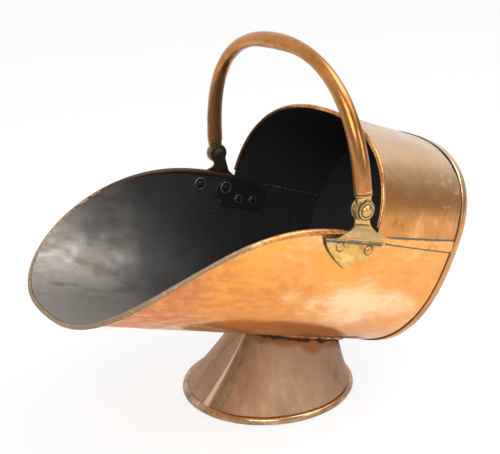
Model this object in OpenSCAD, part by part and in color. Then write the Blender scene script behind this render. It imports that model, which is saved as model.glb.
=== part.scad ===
// Helmet coal scuttle: a sheet copper tube laid on a slope, cut open to a long scoop lip at the
// front, hooded behind, closed by a paned-down back plate, and raised on a flared foot.
// A tubular bail swings on two riveted brass brackets.
//
// Row frame: the origin is the centre of the foot on the floor, +Z up, the lip points to -Y.
// Body frame: the row frame turned about X by body_tilt, so that Y runs along the sloping body
// towards its back and Z stands square to it. Left is +X.

/* [Body] */
// Slope of the body's axis, down towards the back, in degrees
body_tilt = 19.7; // [17:0.1:22]
// Thickness of the copper sheet
sheet = 1.5; // [1:0.1:2]
// Half of the body's outer width at its mouth
mouth_half_w = 139.5; // [136:0.5:142]
// Half of the body's outer width at the back plate
back_half_w = 126.5; // [123:0.5:130]
// Height of the side seams, where the hood meets the bowl, in the body frame
seam_h = 209.3; // [208:0.1:211]
// Depth of the bowl below the side seams at the lip
lip_depth = 146.7; // [143:0.1:150]
// Depth of the bowl below the side seams at the back plate
back_depth = 135.7; // [132:0.1:139]
// Squareness of the bowl's section, where 2 is an ellipse
bowl_square = 2.55; // [2.2:0.05:2.8]

/* [Lip and rim] */
// Place along the body where the rim starts to fall towards the lip
crest_y = -32; // [-40:1:-28]
// Length from there to the tip of the lip
lip_len = 254.5; // [240:0.5:262]
// How late the rim falls: a higher power keeps the sides high for longer
lip_power = 2.6; // [2.3:0.05:2.8]
// Diameter of the wired edge round the rim
rim_bead_d = 7; // [6:0.5:7.5]

/* [Hood] */
// Height of the hood's arch above the side seams
hood_h = 107.8; // [105:0.1:111]
// Height of the hood above the side seams at the back plate
hood_back_h = 103.6; // [100:0.1:107]
// Squareness of the hood's section, where 2 is an ellipse
hood_square = 2.34; // [2.2:0.02:2.6]
// Place of the hood's front arch along the body
arch_y = -23.4; // [-26:0.1:-21]
// Diameter of the wired edge on the arch
hood_bead_d = 5; // [4:0.5:6]
// Place of the back plate along the body, at the height of the side seams
back_y = 100.8; // [97:0.1:104]
// Lean of the back plate against the body's section, in degrees
back_lean = 7; // [4:0.5:9]
// Width of the paned-down seam round the back plate
pan_w = 8; // [6:0.5:9]
// Height of the back plate's dome
back_dome = 5; // [3:0.5:8]

/* [Foot] */
// Diameter of the foot at the floor
foot_d = 194; // [190:1:200]
// Diameter of the foot's neck, under the bowl
neck_d = 118; // [112:1:124]
// Place of the neck's centre along the body
neck_y = 5; // [0:1:10]
// How strongly the foot's side flares, where 1 is a plain cone
foot_flare = 1.3; // [1.05:0.05:1.6]
// Diameter of the wired edge at the floor
foot_bead_d = 9; // [8:0.5:10]
// Width of the collar that joins the neck to the bowl
collar_w = 8; // [6:0.5:10]

/* [Bail] */
// Height of the pivots in the body frame
pivot_h = 234.3; // [233:0.1:236]
// Place of the pivots along the body
pivot_y = -53.5; // [-55:0.5:-52]
// Half of the bail's width, on its centre line
bail_half_w = 144.1; // [143.8:0.1:144.4]
// Height of the bail above its pivots, on its centre line
bail_h = 148; // [144:1:152]
// Squareness of the bail, where 2 is an ellipse
bail_square = 2.44; // [2.2:0.02:2.6]
// Diameter of the bail at its legs, its thickest
bail_leg_d = 18; // [16:0.5:19]
// Diameter of the bail at the middle of the grip
bail_grip_d = 17.4; // [16:0.2:19]
// Diameter of the bail at its shoulders, its thinnest
bail_thin_d = 14.4; // [13:0.2:16]
// Lean of the standing bail towards the lip, in degrees
bail_lean = 1.1; // [0:0.1:4]

/* [Pivots and brackets] */
// Diameter of the pivot pin
pin_d = 7; // [6:0.5:8]
// Radial clearance of the bail's eye on the pin
pin_play = 0.06; // [0.04:0.01:0.08]
// Diameter of the bail's eye
eye_d = 22.5; // [22:0.5:24]
// Thickness of the bail's eye
eye_w = 7; // [6.8:0.1:7.2]
// Side play of the eye between the ear and the washer
eye_gap = 0.4; // [0.3:0.05:0.6]
// Thickness of the bracket's plate and ear
bracket_t = 3.2; // [3:0.1:3.5]
// Diameter of the domed rivet heads on the bracket
rivet_head_d = 9.5; // [8:0.5:10]

/* [Rear handle] */
// Spread of the rear handle between the centres of its feet
tip_handle_w = 84; // [76:1:92]
// Reach of the rear handle's bar behind the back plate
tip_handle_reach = 38; // [34:1:42]
// Diameter of the rear handle's bar
tip_handle_d = 11; // [10:0.5:12]

/* [Hidden] */

$fn = 48;
copper = [0.78, 0.46, 0.25];
dark_copper = [0.60, 0.36, 0.22];
brass = [0.80, 0.64, 0.32];

// Steps round the half section, along the body and round the closed outlines
bowl_steps = 26;
body_steps = 11;
hood_steps = 36;
foot_steps = 48;
bail_steps = 52;
bead_sides = 8;
bail_sides = 12;

// Sizes that the driving dimensions settle
bead_out = 0.7;
bracket_x = mouth_half_w + 0.15;
bracket_low_x = bracket_x - 1.9;
bead_x = mouth_half_w + bead_out;
ear_x = mouth_half_w - 2.5;
ear_d = 22;
ear_lean = 28;
eye_x = ear_x + bracket_t + eye_gap;
washer_x = eye_x + eye_w + eye_gap;
washer_t = 1;
washer_d = 17;
bracket_turn = 3.5;
pin_head_d = 11.6;
pin_head_h = 3.6;
rivet_spots = [[-68, 194.8], [-32.5, 195.6]];
rivet_d = 4.6;
lap_rivet_spots = [[-11.5, 185], [8.5, 186.6]];
lap_plate_t = 1.5;
lap_gap = 0.25;
strip_t = 1.3;
strip_low = 5.4;
strip_rise = [1, 8];

// ---------------------------------------------------------------- form of the body

// Radius of a unit superellipse of squareness n at angle a
function se(a, n) = pow(pow(abs(cos(a)), n) + pow(abs(sin(a)), n), -1 / n);

// Width of a unit superellipse at height h
function se_width(h, n) = pow(max(0, 1 - pow(abs(h), n)), 1 / n);

// Half width of the body, depth of the bowl and rise of the hood at a place along the body
function half_w(y) = y <= arch_y ? mouth_half_w
    : mouth_half_w - (mouth_half_w - back_half_w) * pow((y - arch_y) / (back_y - arch_y), 1.5);
function depth(y) = back_depth
    + (lip_depth - back_depth) * (back_y - y) / (back_y - crest_y + lip_len);
function rise(y) = hood_h + (hood_back_h - hood_h) * (y - arch_y) / (back_y - arch_y);

// A point of the bowl and of the hood: a is 0 at the left seam and 180 at the right one, and
// out is how far the point lies outside the sheet's outer face
function bowl_point(a, y, out) = let (r = se(a, bowl_square))
    [(half_w(y) + out) * r * cos(a), y, seam_h - (depth(y) + out) * r * sin(a)];
function hood_point(a, y, out) = let (r = se(a, hood_square))
    [(half_w(y) + out) * r * cos(a), y, seam_h + (rise(y) + out) * r * sin(a)];

// The body's outer half width at a place and height, and the bowl's underside at x and y
function side_x(y, z) = half_w(y) * (z < seam_h ? se_width((seam_h - z) / depth(y), bowl_square)
    : se_width((z - seam_h) / rise(y), hood_square));
function under_z(x, y) = seam_h - depth(y) * se_width(x / half_w(y), bowl_square);

// Where the rim cuts the line of the body at angle a, and where the back plate cuts it
function rim_y(a) = crest_y - lip_len * pow(abs(se(a, bowl_square) * sin(a)), 1 / lip_power);
function back_at(z) = back_y + (z - seam_h) * tan(back_lean);

// Angles round the bowl, closer together near the seams, where the rim runs along the body
function bowl_angle(j) = let (k = j / bowl_steps)
    k <= 1 ? 90 * pow(k, 1.7) : 180 - 90 * pow(2 - k, 1.7);

// Body frame to row frame
function to_row(p) = [p[0], p[1] * cos(body_tilt) + p[2] * sin(body_tilt),
    -p[1] * sin(body_tilt) + p[2] * cos(body_tilt)];

// ---------------------------------------------------------------- builders of closed skins

function join(rows) = [for (row = rows) for (p = row) p];

// Two triangles between four corners, seen counter-clockwise as a, b, c, d from inside
function two(a, b, c, d) = [[a, b, c], [a, c, d]];

// A sheet between an outer and an inner grid of points. wrap closes it round its rows.
module sheet_between(outer, inner, wrap = false) {
    rows = len(outer);
    cols = len(outer[0]);
    shift = rows * cols;
    last = wrap ? cols : cols - 1;
    faces = concat(
        [for (i = [0 : rows - 2]) for (j = [0 : last - 1]) let (k = (j + 1) % cols)
            each two(i * cols + j, i * cols + k, (i + 1) * cols + k, (i + 1) * cols + j)],
        [for (i = [0 : rows - 2]) for (j = [0 : last - 1]) let (k = (j + 1) % cols)
            each two(shift + i * cols + j, shift + (i + 1) * cols + j,
                shift + (i + 1) * cols + k, shift + i * cols + k)],
        [for (j = [0 : last - 1]) let (k = (j + 1) % cols)
            each two(j, shift + j, shift + k, k)],
        [for (j = [0 : last - 1]) let (k = (j + 1) % cols, e = (rows - 1) * cols)
            each two(e + j, e + k, shift + e + k, shift + e + j)],
        wrap ? [] : [for (i = [0 : rows - 2])
            each two(i * cols, (i + 1) * cols, shift + (i + 1) * cols, shift + i * cols)],
        wrap ? [] : [for (i = [0 : rows - 2]) let (e = cols - 1)
            each two(i * cols + e, shift + i * cols + e,
                shift + (i + 1) * cols + e, (i + 1) * cols + e)]
    );
    polyhedron(points = concat(join(outer), join(inner)), faces = faces, convexity = 8);
}

// A solid through closed rings of points, capped at both ends
module skin(rings) {
    n = len(rings[0]);
    m = len(rings);
    polyhedron(points = join(rings), convexity = 8, faces = concat(
        [[for (j = [0 : n - 1]) j]],
        [[for (j = [0 : n - 1]) (m - 1) * n + n - 1 - j]],
        [for (i = [0 : m - 2]) for (j = [0 : n - 1]) let (k = (j + 1) % n)
            each two(i * n + j, (i + 1) * n + j, (i + 1) * n + k, i * n + k)]
    ));
}

function unit(v) = v / norm(v);

// Rings of a round bar along a path, each square to it, with side as the rings' first direction
function bar_rings(path, radii, sides, side) = [for (i = [0 : len(path) - 1])
    let (t = unit(path[min(i + 1, len(path) - 1)] - path[max(i - 1, 0)]),
        u = unit(cross(t, side)), w = cross(u, t))
    [for (j = [0 : sides - 1]) path[i] + radii[i] * (cos(360 * j / sides) * w
        + sin(360 * j / sides) * u)]];

// ---------------------------------------------------------------- placing

module body_frame() rotate([-body_tilt, 0, 0]) children();

// Both hands of a part are drawn as the left one
module right_hand() mirror([1, 0, 0]) children();

// The bail's own frame: its origin on the pivots' axis, Z along its legs
module bail_frame() {
    body_frame() translate([0, pivot_y, pivot_h])
        rotate([body_tilt + bail_lean, 0, 0]) children();
}

// Turns Z to X, for parts on the pivots' axis and the rivets
module along_x() rotate([0, 90, 0]) children();

// A domed head: its flat side on z = 0
module dome(d, h) {
    r = (d * d / 4 + h * h) / (2 * h);
    rotate_extrude() intersection() {
        translate([0, h - r]) circle(r, $fn = 96);
        square([d, h]);
    }
}

// ---------------------------------------------------------------- body

module bowl() {
    function grid(out) = [for (i = [0 : body_steps]) [for (j = [0 : 2 * bowl_steps])
        let (a = bowl_angle(j), p = bowl_point(a, back_y, out), b = back_at(p[2]),
            y = b + (rim_y(a) - b) * i / body_steps)
        bowl_point(a, y, out)]];
    color(copper) body_frame() sheet_between(grid(0), grid(-sheet));
}

// The rim's line, from the left foot of the arch round the lip to the right one
function rim_run(side) = [for (y = [arch_y - 3, (arch_y + crest_y) / 2])
    [side * bead_x, y, seam_h]];
rim_line = concat(rim_run(1), [for (j = [0 : 2 * bowl_steps]) let (a = bowl_angle(j))
    bowl_point(a, rim_y(a), bead_out)], [for (k = [1, 0]) rim_run(-1)[k]]);

module rim_bead() color(copper) body_frame() {
    skin(bar_rings(rim_line, [for (p = rim_line) rim_bead_d / 2], bead_sides, [0, 0, 1]));
}

module hood() {
    function grid(out) = [for (i = [0 : 6]) [for (j = [0 : hood_steps])
        let (a = 180 * j / hood_steps, p = hood_point(a, back_y, out), b = back_at(p[2]))
        hood_point(a, arch_y + (b - arch_y) * i / 6, out)]];
    color(dark_copper) body_frame() sheet_between(grid(0), grid(-sheet));
}

module hood_bead() color(dark_copper) body_frame() {
    line = [for (j = [0 : hood_steps]) hood_point(5 + 170 * j / hood_steps, arch_y, -sheet / 2)];
    skin(bar_rings(line, [for (p = line) hood_bead_d / 2], bead_sides, [0, 1, 0]));
}

// The back plate is a shallow pan: its turned edge is paned down over the bowl and the hood
module back_plate() {
    gap = 0.05;
    mid = seam_h - (back_depth - hood_back_h) / 2;
    function lean(p) = back_at(p[2]) - back_y;
    function edge(out, y) = concat(
        [for (j = [0 : hood_steps - 1]) let (a = 180 * j / hood_steps)
            hood_point(a, y + lean(hood_point(a, back_y, out)), out)],
        [for (j = [0 : 2 * bowl_steps - 1]) let (a = bowl_angle(2 * bowl_steps - j))
            bowl_point(a, y + lean(bowl_point(a, back_y, out)), out)]);
    function ring(k, y) = [for (p = edge(0, back_y)) let (z = mid + (p[2] - mid) * k)
        [p[0] * k, y + lean([0, 0, z]) + back_dome * (1 - k * k), z]];
    color(dark_copper) body_frame() skin(concat(
        [for (k = [0.2, 0.5, 0.75, 0.93]) ring(k, back_y + sheet + gap)],
        [edge(0.8, back_y + sheet), edge(sheet, back_y + sheet / 2), edge(sheet, back_y - pan_w)],
        [edge(gap, back_y - pan_w), edge(gap, back_y + gap)],
        [for (k = [0.93, 0.75, 0.5, 0.2]) ring(k, back_y + gap)]
    ));
}

// The strip over a side seam, wider towards the back
module side_seam() {
    front = arch_y + 15;
    steps = 9;
    function edge(k) = strip_rise[0] + (strip_rise[1] - strip_rise[0]) * k;
    function row(y, k, out) = [for (z = [seam_h - strip_low, seam_h - strip_low / 2, seam_h,
            seam_h + edge(k) / 2, seam_h + edge(k)]) [side_x(y, z) + out, y, z]];
    function grid(out) = [for (i = [0 : steps]) let (k = i / steps)
        row(front + (back_y - pan_w - 0.5 - front) * k, k, out)];
    body_frame() sheet_between(grid(strip_t), grid(0.02));
}
module side_seam_left() color(copper) side_seam();
module side_seam_right() color(copper) right_hand() side_seam();

// The lap plate inside each front corner of the hood, its ends round
module lap_plate() {
    span = [-44, 26];
    z_mid = 191;
    r = 17;
    cols = 14;
    function reach(y) = let (d = max(0, span[0] + r - y, y - span[1] + r))
        sqrt(max(0.6, r * r - d * d));
    function grid(out) = [for (i = [0 : cols]) let (k = (1 - cos(180 * i / cols)) / 2,
            y = span[0] + (span[1] - span[0]) * k)
        [for (j = [-2 : 2]) let (z = z_mid + reach(y) * j / 2) [side_x(y, z) + out, y, z]]];
    body_frame() sheet_between(grid(-sheet - lap_gap), grid(-sheet - lap_plate_t));
}
module lap_plate_left() color(dark_copper) lap_plate();
module lap_plate_right() color(dark_copper) right_hand() lap_plate();

// Rivets of a lap plate: button heads inside, hammered flush outside
module lap_rivets() body_frame() for (spot = lap_rivet_spots) {
    x = side_x(spot[0], spot[1]);
    through = sheet + lap_plate_t;
    translate([x - through, spot[0], spot[1]]) along_x() {
        cylinder(d = rivet_d, h = through - 0.1);
        mirror([0, 0, 1]) dome(11, 1.8);
    }
}
module lap_rivets_left() color(dark_copper) lap_rivets();
module lap_rivets_right() color(dark_copper) right_hand() lap_rivets();

// ---------------------------------------------------------------- foot

// The foot's side runs from the bead at the floor to the neck, whose top follows the bowl. Its
// own lap seam stands proud over a few degrees.
module foot() {
    steps = 8;
    edge_r = foot_d / 2 - foot_bead_d / 2 + 1;
    lap_at = 282;
    function lap(f) = abs(f - lap_at) < 5 ? 1 : 0;
    function neck(f, out) = let (r = neck_d / 2 + out, x = r * cos(f),
            y = neck_y + r * sin(f)) to_row([x, y, under_z(x, y) - 1.2]);
    function side(f, k, out) = let (n = neck(f, out),
            floor_p = [(edge_r + out) * cos(f), (edge_r + out) * sin(f)],
            near = pow(1 - k, foot_flare))
        [n[0] + (floor_p[0] - n[0]) * near, n[1] + (floor_p[1] - n[1]) * near,
            foot_bead_d / 2 + (n[2] - foot_bead_d / 2) * k];
    function grid(out, step) = [for (i = [0 : steps]) [for (j = [0 : foot_steps - 1])
        let (f = 360 * j / foot_steps) side(f, 1 - i / steps, out + step * lap(f))]];
    color(dark_copper) sheet_between(grid(sheet / 2, 1), grid(-sheet / 2, 0), wrap = true);
}

// The wired edge, flattened where it rests
module foot_bead() color(dark_copper) rotate_extrude($fn = 96) intersection() {
    translate([foot_d / 2 - foot_bead_d / 2, foot_bead_d / 2 - 0.5]) circle(d = foot_bead_d);
    translate([foot_d / 2 - foot_bead_d, 0]) square([foot_bead_d, foot_bead_d]);
}

// The soldered collar between neck and bowl
module foot_collar() {
    function ring(r, drop) = [for (j = [0 : foot_steps - 1]) let (f = 360 * j / foot_steps,
            x = r * cos(f), y = neck_y + r * sin(f)) [x, y, under_z(x, y) - drop]];
    inner_r = neck_d / 2 - 2;
    mid_r = neck_d / 2 + 2.5;
    outer_r = neck_d / 2 + collar_w;
    color(dark_copper) body_frame() sheet_between([ring(inner_r, -0.3), ring(mid_r, -0.3), ring(outer_r, -0.3)],
        [ring(inner_r, 3), ring(mid_r, 3), ring(outer_r, 1)], wrap = true);
}

// ---------------------------------------------------------------- brackets and pivots

// Outline of a bracket, seen from its side: a shield below the fold, then a band that narrows
// over the rim
module bracket_outline() {
    polygon([[-90, 203.3], [-87, 195.6], [-80, 188], [-70.5, 180.5], [-58.5, 173],
        [-44.7, 181.8], [-35.5, 185.4], [-29, 189.8], [-24, 195.2], [-17, 202.9], [-22, 206.5],
        [-26, 211.5], [-31, 213.5], [-35.5, 217], [-38, 221], [-56.5, 221], [-57, 216.5],
        [-61.5, 213], [-70, 209], [-78.1, 204.5]]);
}

// Section of a bracket, seen along the rim: the plate on the bowl, the fold, the band, the ear
module bracket_section() polygon([
    [bracket_low_x, seam_h - 39], [bracket_low_x + bracket_t, seam_h - 39],
    [bracket_x + bracket_t, seam_h - 6.7], [bead_x + 6, seam_h - 5.3],
    [bead_x + 6, seam_h - 2.6], [bracket_x + bracket_t, seam_h + 6],
    [ear_x + bracket_t, seam_h + 9.5], [ear_x + 0.5, seam_h + 9.5],
    [bracket_x, seam_h + 4], [bracket_x, seam_h - 5], [bracket_x - 0.3, seam_h - 20]
]);

// The ear and its neck, set in over the rim and leaning back to stand upright on the body
module bracket_ear() translate([ear_x, pivot_y, pivot_h]) rotate([ear_lean, 0, 0]) {
    along_x() cylinder(d = ear_d, h = bracket_t);
    rotate([90, 0, 90]) linear_extrude(bracket_t) polygon([[-8.3, 0], [-8.3, -9],
        [-9.4, -13.5], [-8, -21.5], [9.3, -22.5], [8.3, -15], [8.3, 0]]);
}

module bracket() body_frame() difference() {
    union() {
        about_pivot(bracket_turn) intersection() {
            along_outline() bracket_outline();
            rotate([90, 0, 0]) linear_extrude(120) bracket_section();
        }
        bracket_ear();
    }
    translate([bead_x, pivot_y, seam_h]) rotate([bracket_turn - 1 - 90, 0, 0])
        cylinder(d = rim_bead_d + 0.3, h = 90, center = true);
    translate([ear_x - 1, pivot_y, pivot_h]) along_x()
        cylinder(d = pin_d, h = bracket_t + 2);
    for (spot = rivet_spots) translate([bracket_x - 5, spot[0], spot[1]]) along_x()
        cylinder(d = rivet_d, h = 12);
}

// Turns a part about the pivots' axis, its back end up
module about_pivot(turn) translate([0, pivot_y, pivot_h]) rotate([turn, 0, 0])
    translate([0, -pivot_y, -pivot_h]) children();

// Extrudes an outline drawn in the Y-Z plane across the side of the body
module along_outline() {
    translate([mouth_half_w - 10, 0, 0]) rotate([90, 0, 90]) linear_extrude(25) children();
}
module bracket_left() color(brass) bracket();
module bracket_right() color(brass) right_hand() bracket();

// Domed rivets of a bracket, driven through the bowl
module bracket_rivets() body_frame() for (spot = rivet_spots) {
    face_x = bracket_x + bracket_t - 0.3;
    inner_x = mouth_half_w - sheet - lap_plate_t - 1.6;
    translate([face_x, spot[0], spot[1]]) along_x() dome(rivet_head_d, 3);
    translate([inner_x, spot[0], spot[1]]) along_x() cylinder(d = rivet_d, h = face_x - inner_x);
}
module bracket_rivets_left() color(brass) bracket_rivets();
module bracket_rivets_right() color(brass) right_hand() bracket_rivets();

// Burrs that the bracket's rivets are headed over, inside the bowl
module rivet_burrs() body_frame() for (k = [0, 1]) {
    spot = rivet_spots[k];
    wall_x = side_x(spot[0], spot[1]) - sheet - (k == 0 ? 0 : lap_plate_t);
    translate([wall_x - 1.3, spot[0], spot[1]]) along_x() difference() {
        cylinder(d = 15, h = 1.25);
        translate([0, 0, -1]) cylinder(d = rivet_d, h = 4);
    }
}
module rivet_burrs_left() color(dark_copper) rivet_burrs();
module rivet_burrs_right() color(dark_copper) right_hand() rivet_burrs();

// The pivot pin: a domed head outside, the shank through washer, eye and ear, headed inside
module pivot_pin() body_frame() translate([0, pivot_y, pivot_h]) {
    translate([washer_x + washer_t, 0, 0]) along_x() dome(pin_head_d, pin_head_h);
    translate([ear_x, 0, 0]) along_x() cylinder(d = pin_d, h = washer_x + washer_t - ear_x);
    translate([ear_x, 0, 0]) mirror([1, 0, 0]) along_x() dome(pin_d + 4, 2);
}
module pivot_pin_left() color(brass) pivot_pin();
module pivot_pin_right() color(brass) right_hand() pivot_pin();

module pivot_washer() body_frame() translate([washer_x, pivot_y, pivot_h]) along_x()
    difference() {
        cylinder(d = washer_d, h = washer_t);
        translate([0, 0, -1]) cylinder(d = pin_d, h = washer_t + 2);
    }
module pivot_washer_left() color(brass) pivot_washer();
module pivot_washer_right() color(brass) right_hand() pivot_washer();

// ---------------------------------------------------------------- bail

leg_foot = 17;

// Radius of the bail at an angle from the pivots: a swelling at the grip, slim shoulders and
// legs that thicken towards the pivots
function bail_r(a) = let (d = abs(a - 90), grip = 27)
    (d < grip ? bail_thin_d + (bail_grip_d - bail_thin_d) * (1 + cos(180 * d / grip)) / 2
        : bail_thin_d + (bail_leg_d - bail_thin_d)
            * (1 - cos(180 * (d - grip) / (90 - grip))) / 2) / 2;

module bail() color(copper) bail_frame() {
    start = asin(leg_foot / bail_half_w) - 0.05;
    angles = [for (i = [0 : bail_steps]) start + (180 - 2 * start) * i / bail_steps];
    line = [for (a = angles) let (r = se(a, bail_square))
        [bail_half_w * r * cos(a), 0, bail_h * r * sin(a)]];
    ends = [[line[0][0], 0, leg_foot], [line[bail_steps][0], 0, leg_foot]];
    path = concat([ends[0]], [for (i = [1 : bail_steps - 1]) line[i]], [ends[1]]);
    rings = bar_rings(path, [for (a = angles) bail_r(a)], bail_sides, [0, 1, 0]);
    level = concat([[for (p = rings[0]) [p[0], p[1], leg_foot]]],
        [for (i = [1 : bail_steps - 1]) rings[i]],
        [[for (p = rings[bail_steps]) [p[0], p[1], leg_foot]]]);
    skin(level);
}

// The eye at the foot of a leg: a turned boss on the pin, two mouldings round it and the stub
// that the leg is brazed to
module bail_eye() bail_frame() difference() {
    union() {
        translate([eye_x, 0, 0]) along_x() cylinder(d = eye_d, h = eye_w);
        intersection() {
            translate([bail_half_w, 0, 0]) cylinder(d = bail_leg_d, h = leg_foot);
            union() {
                translate([eye_x, 0, 0]) along_x() cylinder(r = 15, h = eye_w);
                translate([eye_x + 1, -20, 0]) cube([eye_w - 2, 40, leg_foot]);
                translate([bail_half_w - 15, -20, 14.5]) cube([30, 40, leg_foot]);
            }
        }
    }
    translate([eye_x - 1, 0, 0]) along_x() cylinder(d = pin_d + 2 * pin_play, h = eye_w + 2);
}
module bail_eye_left() color(brass) bail_eye();
module bail_eye_right() color(brass) right_hand() bail_eye();

// ---------------------------------------------------------------- rear handle

// Frame of the rear handle: its origin on the back plate, Z square to the plate, outwards
module handle_frame() {
    z = seam_h - 14;
    body_frame() translate([0, back_at(z) + sheet + back_dome, z])
        rotate([-90 - back_lean, 0, 0]) children();
}

handle_bend = 22;

// A bar with two round bends, standing on round feet
module rear_handle() color(brass) handle_frame() {
    difference() {
        union() for (side = [-1, 1]) scale([side, 1, 1]) {
            translate([tip_handle_w / 2, 0, -0.6]) cylinder(d = 26, h = 3.1);
            translate([tip_handle_w / 2, 0, 2])
                cylinder(d = tip_handle_d, h = tip_handle_reach - handle_bend - 2);
            translate([tip_handle_w / 2 - handle_bend, 0, tip_handle_reach - handle_bend])
                rotate([90, 0, 0]) rotate_extrude(angle = 90)
                    translate([handle_bend, 0]) circle(d = tip_handle_d);
            translate([0, 0, tip_handle_reach]) along_x()
                cylinder(d = tip_handle_d, h = tip_handle_w / 2 - handle_bend);
        }
        for (spot = handle_rivet_spots()) translate([spot[0], spot[1], -5])
            cylinder(d = 4, h = 10);
    }
}

function handle_rivet_spots() = [for (side = [-1, 1]) for (up = [-1, 1])
    [side * tip_handle_w / 2, up * 9]];

module rear_handle_rivets() color(brass) handle_frame() for (spot = handle_rivet_spots())
    translate([spot[0], spot[1], 0]) {
        translate([0, 0, -3.5]) cylinder(d = 4, h = 6);
        translate([0, 0, 2.5]) dome(6.5, 1.8);
    }

bowl();
rim_bead();
hood();
hood_bead();
back_plate();
side_seam_left();
side_seam_right();
lap_plate_left();
lap_plate_right();
lap_rivets_left();
lap_rivets_right();
foot();
foot_bead();
foot_collar();
bracket_left();
bracket_right();
bracket_rivets_left();
bracket_rivets_right();
rivet_burrs_left();
rivet_burrs_right();
pivot_pin_left();
pivot_pin_right();
pivot_washer_left();
pivot_washer_right();
bail();
bail_eye_left();
bail_eye_right();
rear_handle();
rear_handle_rivets();
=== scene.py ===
"""Helmet coal scuttle: smooth sheet metal forms and aged copper, brass and sooted finishes.

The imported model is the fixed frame. Each class below builds one sub-assembly of the scuttle from
bmesh operators, in the sizes of the frame, and dresses it in its finish. Sizes are in millimetres
and are turned into the scene's metres where a point is placed.
"""

import logging
import math
from dataclasses import dataclass
from enum import Enum
from functools import cached_property
from typing import Any, Callable, Iterable, Sequence

import bmesh
import bpy
from mathutils import Matrix, Vector, noise


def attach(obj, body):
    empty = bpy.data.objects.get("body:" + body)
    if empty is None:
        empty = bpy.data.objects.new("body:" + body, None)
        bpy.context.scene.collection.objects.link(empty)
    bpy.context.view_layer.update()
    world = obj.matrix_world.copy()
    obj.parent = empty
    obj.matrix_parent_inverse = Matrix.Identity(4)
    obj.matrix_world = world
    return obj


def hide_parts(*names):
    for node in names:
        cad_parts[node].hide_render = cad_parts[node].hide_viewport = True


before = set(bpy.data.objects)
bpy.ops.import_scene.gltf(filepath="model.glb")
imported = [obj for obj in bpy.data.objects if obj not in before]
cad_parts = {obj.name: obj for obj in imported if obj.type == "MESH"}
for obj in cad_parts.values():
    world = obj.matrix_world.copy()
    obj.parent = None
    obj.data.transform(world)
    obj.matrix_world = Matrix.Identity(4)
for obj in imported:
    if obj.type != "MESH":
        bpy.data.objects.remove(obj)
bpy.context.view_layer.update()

LOG = logging.getLogger("coal_scuttle")
MM = 0.001
WHITE = "#ffffff"

# Points of a bracket's flat plate that lie nearer than this, in millimetres, are one
MERGE = 0.01

# Names of the values that a mesh carries at its vertices: a column number and three painted marks,
# a stain, soot with painted shade, and rub with painted highlights
COLUMN = "column"
STAIN = "stain"
SOOT_AND_SHADE = "soot"
RUB_AND_HIGHLIGHT = "rub_and_highlight"

Place = Callable[[int, int], Vector]


class Side(Enum):
    """The hand of a paired part."""

    LEFT = 1
    RIGHT = -1

    @property
    def label(self) -> str:
        """Returns the hand in the words of the frame's node names."""
        return self.name.lower()


class Body(Enum):
    """The bodies of the frame that a piece can ride on."""

    SCUTTLE = "scuttle"
    BAIL = "bail"


class Slot(Enum):
    """The finishes that the record names."""

    BRIGHT_COPPER = "bright_copper"
    BROWN_COPPER = "brown_copper"
    FOOT_COPPER = "foot_copper"
    BAIL_COPPER = "bail_copper"
    BRASS = "brass"
    INSIDE = "dark_inside"


# ---------------------------------------------------------------- materials


def linear(colour: str) -> tuple[float, float, float, float]:
    """Turns a written sRGB colour into the linear values that a shader takes.

    Args:
        colour: Six hexadecimal digits after a hash sign.

    Returns:
        Red, green, blue and an alpha of one.
    """
    parts = [int(colour[i : i + 2], 16) / 255 for i in (1, 3, 5)]
    bent = [c / 12.92 if c <= 0.04045 else ((c + 0.055) / 1.055) ** 2.4 for c in parts]
    return (bent[0], bent[1], bent[2], 1.0)


class NodeTree:
    """A tree of shader nodes, with what a material and the air both need."""

    def __init__(self, tree: bpy.types.NodeTree) -> None:
        """Empties the tree.

        Args:
            tree: The tree to fill.
        """
        self.tree = tree
        self.tree.nodes.clear()

    def add(self, kind: str, inputs: dict[Any, Any] | None = None, **settings: Any) -> Any:
        """Adds a node.

        Args:
            kind: The node's type.
            inputs: Values or sockets for its inputs, by name or number.
            settings: Properties to set on the node.

        Returns:
            The node.
        """
        node = self.tree.nodes.new(kind)
        for key, value in settings.items():
            setattr(node, key, value)
        for key, value in (inputs or {}).items():
            if isinstance(value, bpy.types.NodeSocket):
                self.tree.links.new(value, node.inputs[key])
            else:
                node.inputs[key].default_value = value
        return node

    def ramp(self, value: Any, stops: Sequence[tuple[float, str]]) -> Any:
        """Turns a value into a colour.

        Args:
            value: The socket that drives the ramp.
            stops: Places along the ramp and their written colours.

        Returns:
            The colour socket.
        """
        node = self.add("ShaderNodeValToRGB", {"Fac": value})
        node.color_ramp.interpolation = "EASE"
        while len(node.color_ramp.elements) < len(stops):
            node.color_ramp.elements.new(0.5)
        for element, (position, colour) in zip(node.color_ramp.elements, stops):
            element.position = position
            element.color = linear(colour)
        return node.outputs["Color"]

    def mix(self, share: Any, first: Any, second: Any) -> Any:
        """Mixes two colours.

        Args:
            share: The second colour's share.
            first: A colour socket or a written colour.
            second: A colour socket or a written colour.

        Returns:
            The mixed colour's socket.
        """
        ends = [linear(c) if isinstance(c, str) else c for c in (first, second)]
        settings = {0: share, 6: ends[0], 7: ends[1]}
        return self.add("ShaderNodeMix", settings, data_type="RGBA").outputs[2]


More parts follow.
